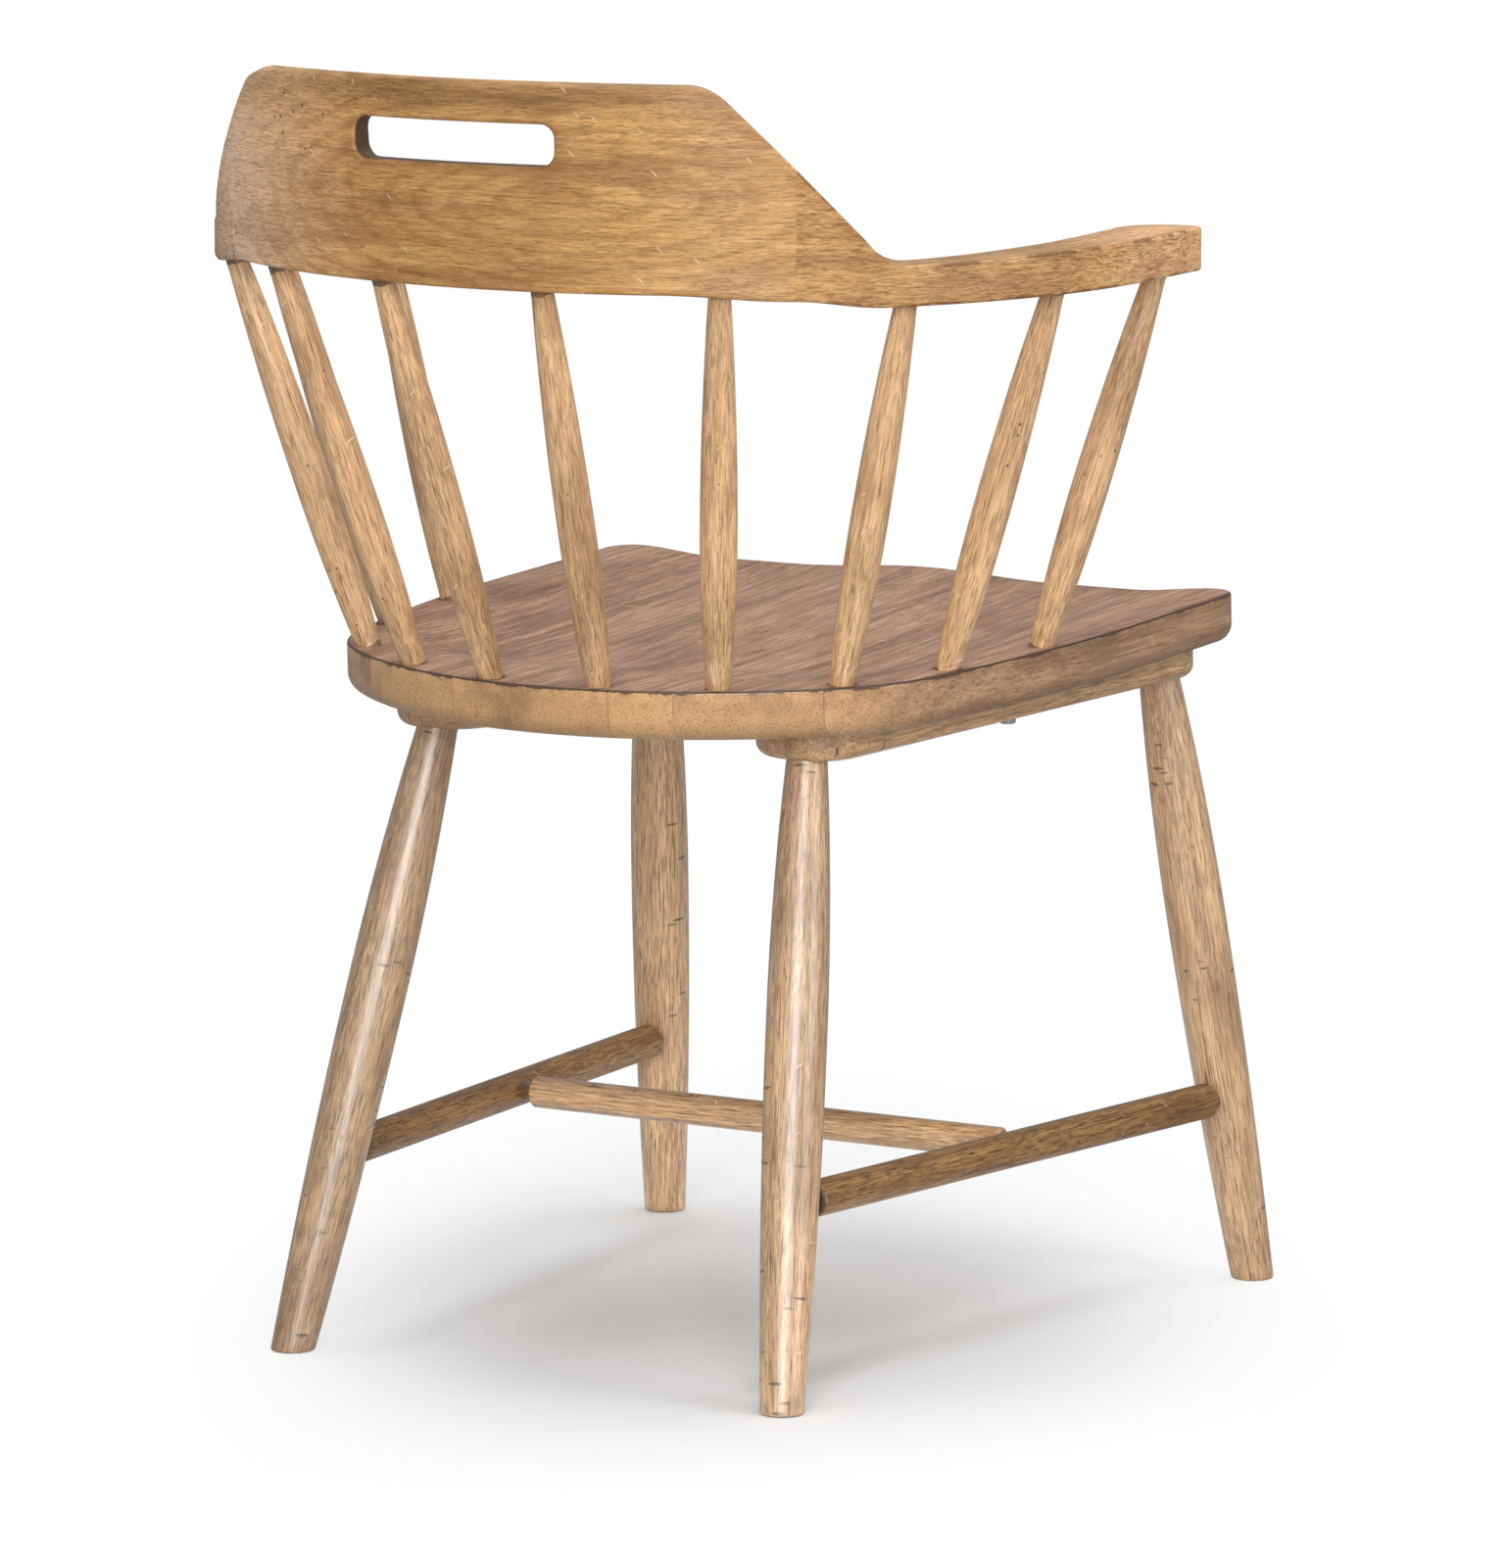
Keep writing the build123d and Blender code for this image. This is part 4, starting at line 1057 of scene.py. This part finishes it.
# Where a line from the slot's middle to each row crosses the slot's outline, found by halving
slot_width, slot_height, slot_corner, slot_z = SLOT
aim = np.column_stack([loop_run + inset_along, loop_height + inset_up - slot_z])
corner = slot_corner + SLOT_EDGE
box = np.array([slot_width, slot_height]) / 2 + SLOT_EDGE - corner
near, far = np.zeros(len(aim)), np.ones(len(aim))
for _ in range(40):
    middle = (near + far) / 2
    reach = np.abs(aim * middle[:, None]) - box
    outside = np.linalg.norm(np.maximum(reach, 0.0), axis=1) + np.minimum(reach.max(axis=1), 0.0) > corner
    near, far = np.where(outside, near, middle), np.where(outside, middle, far)
slot_edge = aim * far[:, None]
reach = np.abs(slot_edge) - box
straight_out = np.where(reach[:, :1] > reach[:, 1:], (1.0, 0.0), (0.0, 1.0))
slot_out = np.where((reach > 0).all(axis=1)[:, None], reach, straight_out)
slot_out = np.sign(slot_edge) * slot_out / np.linalg.norm(slot_out, axis=1)[:, None]
slot_wall = slot_edge - slot_out * SLOT_EDGE


def crest_point(radius, angle, height):
    radius = radius + flare(height) * ramps(np.abs(angle), 0.0, FLARED_FROM)
    return np.column_stack([radius * np.sin(angle), RAIL_CENTRE_Y + radius * np.cos(angle), height])


def face_radius(inner, height, depth=0.0):
    """Radius of a face, or of points at a depth behind it."""
    return CREST_INNER + lean(height) + depth if inner else CREST_OUTER - depth + np.zeros(len(height))


def crest_face(inner, share):
    """Ring on a face, share of the way from the slot to the outline."""
    start = slot_wall + slot_out * (SLOT_INNER_EDGE if inner else SLOT_EDGE)
    height = slot_z + start[:, 1] + (loop_height + inset_up - slot_z - start[:, 1]) * share
    radius = face_radius(inner, height)
    slot_angle = np.arcsin(start[:, 0] / radius)
    rim_angle = crest_angle(loop_angle + inset_along / RAIL_RADIUS, radius)
    return crest_point(radius, slot_angle + (rim_angle - slot_angle) * share, height)


def crest_rim(inner, angle):
    """Ring on the rounding between a face (angle 0) and the edge (angle 90 degrees)."""
    share = 1 - math.sin(angle)
    height = loop_height + inset_up * share
    radius = face_radius(inner, height, loop_round * (1 - math.cos(angle)))
    return crest_point(radius, crest_angle(loop_angle + inset_along * share / RAIL_RADIUS, radius), height)


def slot_rim(inner, angle):
    """Ring on the rounding between a face and the slot's wall."""
    size = SLOT_INNER_EDGE if inner else SLOT_EDGE
    flat = slot_wall + slot_out * size * (1 - math.sin(angle))
    height = slot_z + flat[:, 1]
    radius = face_radius(inner, height, size * (1 - math.cos(angle)))
    return crest_point(radius, np.arcsin(flat[:, 0] / radius), height)


def through(rim, from_inner, angles):
    """Rings over one rounding, through the board and over the other rounding."""
    first, last = rim(from_inner, angles[-1]), rim(not from_inner, angles[-1])
    across = [first + (last - first) * share for share in (0.25, 0.5, 0.75)]
    over = [rim(from_inner, angle) for angle in angles]
    return over + across + [rim(not from_inner, angle) for angle in angles[::-1]]


FACE_SHARES = (0.0, 0.02, 0.05, 0.09, 0.15, 0.23, 0.33, 0.44, 0.56, 0.67, 0.77, 0.85, 0.91, 0.95, 0.98, 1.0)
QUARTER = np.radians((18.0, 36.0, 54.0, 72.0, 90.0))
rings = [crest_face(False, share) for share in FACE_SHARES]
rings += through(crest_rim, False, QUARTER)
rings += [crest_face(True, share) for share in FACE_SHARES[::-1]]
rings += through(slot_rim, True, QUARTER)
rings = np.array(rings)
slot_rows = slice(-len(QUARTER) - 5, -len(QUARTER) + 1)    # the slot's wall

CREST_PAINTED_LIGHT = ((-0.14, -190.0, 200.0), (0.30, 20.0, 150.0))    # painted light and shade: ramps of brightness along the rail
# painted sheen: ramps of the pale share towards the rail's ends, most at the left end
CREST_PAINTED_SHEEN = ((0.10, -120.0, -60.0), (0.5, 50.0, 140.0), (0.3, 140.0, 70.0))
# painted shade: the outer skin darker towards the rolled top
CREST_TOP_SHADE = (-0.30, 796.0, 13.0)
CREST_SKIN = 5.0               # depth to which the top's painted shade reaches
# painted shade: the slot's wall made much darker
SLOT_SHADE = -0.5
CREST_PITH = (748.0, -75.0, 0.32)  # height, place along the rail, and slope against the outer face
GRAIN_START = 700.0
along = np.arctan2(rings[..., 0], rings[..., 1] - RAIL_CENTRE_Y) * RAIL_RADIUS
from_centre = np.hypot(rings[..., 0], rings[..., 1] - RAIL_CENTRE_Y)
pith_z, pith_along, pith_slope = CREST_PITH
tone = ramps(along, 0.08, *CREST_PAINTED_LIGHT)
tone += ramps(rings[..., 2], 0.0, CREST_TOP_SHADE) * (from_centre > CREST_OUTER - CREST_SKIN)
tone[slot_rows] = SLOT_SHADE
arrises = (flat_height < CREST_BOTTOM + 1.0) | ((loop_round < 5.0) & (np.abs(inset_up) > SEAM_EDGE))
marks = [slot_rim(inner, math.pi / 4) for inner in (False, True)]
marks += [crest_rim(inner, math.pi / 4)[arrises] for inner in (False, True)]
edge = distance_to(rings, np.vstack(marks)) + SOFT_EDGE
# painted shade in the slot: its wall takes the full dark glaze
edge[slot_rows] = 0.0
layers = {
    "grain": np.stack([from_centre, rings[..., 2], along + GRAIN_START], axis=-1).reshape(-1, 3),
    "ring": np.hypot(rings[..., 2] - pith_z, from_centre - CREST_OUTER + pith_slope * (along - pith_along)),
    "edge": edge, "tone": tone, "fade": ramps(along, 0.0, *CREST_PAINTED_SHEEN),
}
faces = grid_faces(*rings.shape[:2], loop=True)
add_piece("crest_board", "frame_wood", rail_wood, rings.reshape(-1, 3), faces, layers)


# Arms
def arm_lines():
    """Outer and inner plan lines of the left arm, from the seam to the middle of its front edge."""
    starts, steps, ends = [], [], []
    for radius, end_x in ((CREST_OUTER, ARM_OUTER_X), (CREST_INNER, ARM_INNER_X)):
        starts.append(np.array([0.0, RAIL_CENTRE_Y]) + seam_outward * radius)
        turn = (end_x - starts[-1][0]) / (1 - math.sin(RAIL_SWEEP))
        steps.append([(turn, math.pi / 2 - RAIL_SWEEP)])
        ends.append(Chain(starts[-1], steps[-1], RAIL_SWEEP).end[1])
    outer_corner, inner_corner = ARM_CORNERS
    run = ends[1] - ARM_FRONT_Y
    wide = (run * run + ARM_FLARE ** 2) / (2 * ARM_FLARE)
    turn = math.asin((run - inner_corner) / (wide + inner_corner))
    steps[0] += [(0.0, ends[0] - ARM_FRONT_Y - outer_corner), (outer_corner, math.pi / 2)]
    steps[1] += [(wide, turn), (-inner_corner, math.pi / 2 + turn)]
    outer_x, inner_x = (Chain(start, step, RAIL_SWEEP).end[0] for start, step in zip(starts, steps))
    front = [(0.0, (outer_x - inner_x) / 2)]
    return [Chain(start, step + front, RAIL_SWEEP) for start, step in zip(starts, steps)]


def arm_rise(y):
    """Height of the right arm against a level one."""
    level, behind, ahead = ARM_RISE
    return np.where(y > level, behind * (y - level), ahead * (level - y))


RISE_FROM = (1.0, 40.0, 35.0)      # distances past the seam over which the arm's top starts to rise
RISE_BELOW = 0.45              # share of a fall that the underside follows
FLARED_TO = (1.0, 95.0, -30.0)     # distances past the seam over which the shoulder's lean ends


def arm_side(line, inner, underside, rising):
    """Lines along a side of the left arm from its lower to its upper edge, and their distance from one."""
    points, inward = line.sample(ARM_ROWS)
    inward = -inward if inner else inward
    t = (points - seam_middle) @ seam_along
    rise = arm_rise(points[:, 1]) * rising
    top = shoulder_top(t) + rise * ramps(t, 0.0, RISE_FROM)
    lowest = ARM_BOTTOM + (np.maximum(rise, RISE_BELOW * rise) if rising else LEFT_ARM_LIFT)
    at_seam = CREST_BOTTOM + underside
    bottom = at_seam + (lowest - at_seam) * smooth(t / ARM_RAMP)
    arc = rounding(ARM_EDGE, (0.0, 22.5, 45.0, 67.5, 90.0))
    on_edge = np.zeros_like(t)
    column = [(inset, bottom + lift, on_edge) for lift, inset in arc]
    for share in (0.12, 0.3, 0.5, 0.7, 0.88):
        height = bottom + ARM_EDGE + (top - bottom - 2 * ARM_EDGE) * share
        column.append((0.0, height, np.minimum(height - bottom, top - height)))
    column += [(inset, top - lift, on_edge) for lift, inset in arc[::-1]]
    lines = []
    for inset, height, away in column:
        inset = inset + lean(height) * inner
        flat = points + inward * inset[:, None]
        flat = flat + seam_outward * (flare(height) * ramps(t, 0.0, FLARED_TO))[:, None]
        lines.append((np.column_stack([flat, height]), away))
    return lines


def between(first, last):
    """Lines across the arm from one line to another, and how far they are from the nearer one."""
    width = np.linalg.norm(last[0] - first[0], axis=1)
    shares = (0.08, 0.2, 0.4, 0.6, 0.8, 0.92)
    return [(first[0] + (last[0] - first[0]) * share, width * min(share, 1 - share)) for share in shares]


ARM_TONE = (0.36, 180.0, 90.0)     # ramp along the arm
ARM_SHADE = (0.09, 150.0, 70.0)    # strength, place and spread of a darker stretch
ARM_FADE = (0.18, 190.0, 90.0)
ARM_PAINTED_SHEEN = (110.0, 0.16, 0.72)    # painted sheen: length of the pale, brighter stretch at the left seam, its tone and its fade
outer_line, inner_line = arm_lines()
for name, side in SIDES:
    outside = arm_side(outer_line, False, UNDERSIDE[name], name == "right")
    inside = arm_side(inner_line, True, UNDERSIDE[name], name == "right")
    strip = [*outside, *between(outside[-1], inside[-1]), *inside[::-1], *between(inside[0], outside[0])]
    rings = np.stack([points for points, _ in strip], axis=1) * (side, 1.0, 1.0)
    edge = np.stack([away for _, away in strip], axis=1)
    rows, columns = edge.shape
    run = np.linspace(0, outer_line.length, rows)[:, None]
    off = rings[..., :2] - rings.mean(axis=1, keepdims=True)[..., :2]
    across = np.linalg.norm(off, axis=-1) * np.sign(off[..., 0] + 1e-9)
    grain = np.stack([across, rings[..., 2] - ARM_BOTTOM, np.broadcast_to(run, edge.shape)], axis=-1) + pith()
    painted_sheen_length, painted_sheen_tone, painted_sheen_fade = ARM_PAINTED_SHEEN
    # painted sheen on the left arm, fading out from the seam
    painted_sheen = (1 - smooth(run / painted_sheen_length)) * (name == "left")
    shade, shade_at, shade_spread = ARM_SHADE
    shade = shade * np.exp(-((run - shade_at) / shade_spread) ** 2)
    tone = ramps(run, 0.04, ARM_TONE) - shade + painted_sheen_tone * painted_sheen
    fade = ramps(run, 0.08, ARM_FADE) + painted_sheen_fade * painted_sheen
    layers = {
        "grain": np.vstack([grain.reshape(-1, 3), grain[0].mean(axis=0)]),
        "edge": np.append(edge + SOFT_EDGE, FAR),
        "tone": np.append(np.broadcast_to(tone, edge.shape), 0.0),
        "fade": np.append(np.broadcast_to(fade, edge.shape), 0.0),
    }
    points = np.vstack([rings.reshape(-1, 3), rings[0].mean(axis=0)])
    faces = grid_faces(rows, columns) + fan_faces(columns, 0, rows * columns)
    add_piece(f"arm_{name}", "frame_wood", arm_wood, points, faces, layers, weld=1e-6)


# Floor, light and camera
CAMERA_AT = (-3188.96816, 5258.69094, 1258.96948)
YAW, PITCH, ROLL = 0.545034734, 0.147836632, 0.00129365
FOCAL_PIXELS = 9899.13766
PHOTO_WIDTH, PHOTO_HEIGHT = 1536, 1600
SENSOR = 36.0
FLOOR_HALF = 2.0               # metres, as are all lengths below
FLOOR_DROP = 0.0005
FLOOR_PAINT = ((0.922, 0.93, 0.938, 1.0), (0.927, 0.935, 0.943, 1.0))
FLOOR_SHIFT = (0.04, -0.06, 0.0)   # moves the middle of the opaque oval to 0
FLOOR_OVAL = (1.0, 0.38, 0.0)  # makes the oval a circle
FLOOR_FADE = (0.13, 0.40)      # radii of its soft border
LIGHTS = {                     # place, target, size, watts
    "overhead": ((-0.15, -0.25, 2.6), (0.0, 0.0, 0.0), (2.4, 2.4), 40.0),
    "key": ((-1.75, 3.35, 1.5), (0.0, 0.0, 0.5), (2.0, 2.2), 102.0),
    "soft": ((1.0, 3.3, 1.4), (0.0, 0.0, 0.5), (2.0, 2.0), 6.0),
    "fill": ((-3.4, 0.2, 1.2), (0.0, 0.0, 0.5), (1.4, 1.8), 31.0),
}
STEEP = 0.99                   # a light that points down more steeply keeps its sides along X
AMBIENT = 0.36                 # strength of the backdrop for diffuse light
BACKDROP = {"Is Camera Ray": 1.0, "Is Glossy Ray": 0.35}
scene = bpy.context.scene


def stand(name, data, right, up, backward, place):
    """Links an object with these axes at a place; lights and cameras look against their backward axis."""
    made = bpy.data.objects.new(name, data)
    made.matrix_world = Matrix([*np.column_stack([right, up, backward, place]).tolist(), (0, 0, 0, 1)])
    scene.collection.objects.link(made)
    return made


g = Graph(bpy.data.materials.new("floor_shade"))
spot = g.node("ShaderNodeTexCoord").outputs["Object"]
paper = g.mix(g.steps(g.noise(spot), 0.3, 0.7), *FLOOR_PAINT)
solid = g.principled({"Base Color": paper, "Roughness": 0.9, "Specular IOR Level": 0.1})
clear = g.node("ShaderNodeBsdfTransparent").outputs[0]
centred = g.vector("ADD", g.turned(spot, -YAW, "Z_AXIS"), FLOOR_SHIFT)
fade = g.steps(g.vector("LENGTH", g.vector("MULTIPLY", centred, FLOOR_OVAL)), *FLOOR_FADE)
floor_paint = g.finish(g.node("ShaderNodeMixShader", enumerate((fade, solid, clear))).outputs[0])
floor_mesh = bpy.data.meshes.new("floor")
corners = [(x * FLOOR_HALF, y * FLOOR_HALF, 0) for x, y in ((-1, -1), (1, -1), (1, 1), (-1, 1))]
floor_mesh.from_pydata(corners, [], [(0, 1, 2, 3)])
floor_mesh.materials.append(floor_paint)
floor = bpy.data.objects.new("floor", floor_mesh)
scene.collection.objects.link(floor)
floor.location.z = -FLOOR_DROP

for name, (place, target, size, power) in LIGHTS.items():
    light = bpy.data.lights.new(name, "AREA")
    light.shape = "RECTANGLE"
    light.size, light.size_y = size
    light.energy = power
    backward = unit(np.subtract(place, target))
    right = np.array([1.0, 0.0, 0.0])
    if abs(backward[2]) < STEEP:
        right = unit(np.cross((0.0, 0.0, 1.0), backward))
    lamp = stand(name, light, right, np.cross(backward, right), backward, place)

world = bpy.data.worlds.new("studio")
g = Graph(world)
path = g.node("ShaderNodeLightPath")
strength = AMBIENT
for output, seen in BACKDROP.items():
    strength = g.math("MULTIPLY_ADD", path.outputs[output], seen - AMBIENT, strength)
backdrop = g.node("ShaderNodeBackground", {"Color": (1.0, 1.0, 1.0, 1.0), "Strength": strength}).outputs[0]
scene.world = g.finish(backdrop, "ShaderNodeOutputWorld")

forward = np.array([math.cos(PITCH) * math.sin(YAW), -math.cos(PITCH) * math.cos(YAW), -math.sin(PITCH)])
level_right = unit(np.cross(forward, (0.0, 0.0, 1.0)))
level_up = np.cross(level_right, forward)
right = math.cos(ROLL) * level_right + math.sin(ROLL) * level_up
up = math.cos(ROLL) * level_up - math.sin(ROLL) * level_right
lens = bpy.data.cameras.new("photo_camera")
lens.sensor_fit = "VERTICAL"
lens.sensor_height = SENSOR
lens.lens = SENSOR * FOCAL_PIXELS / PHOTO_HEIGHT
lens.clip_end = 100.0
place = (np.array(CAMERA_AT) + (0.0, REST_Y, 0.0)) * MM
scene.camera = stand("photo_camera", lens, right, up, -forward, place)
scene.render.engine = "CYCLES"
scene.render.resolution_x, scene.render.resolution_y = PHOTO_WIDTH, PHOTO_HEIGHT
scene.view_settings.view_transform = "Standard"
scene.view_settings.look = "None"
scene.cycles.use_denoising = True
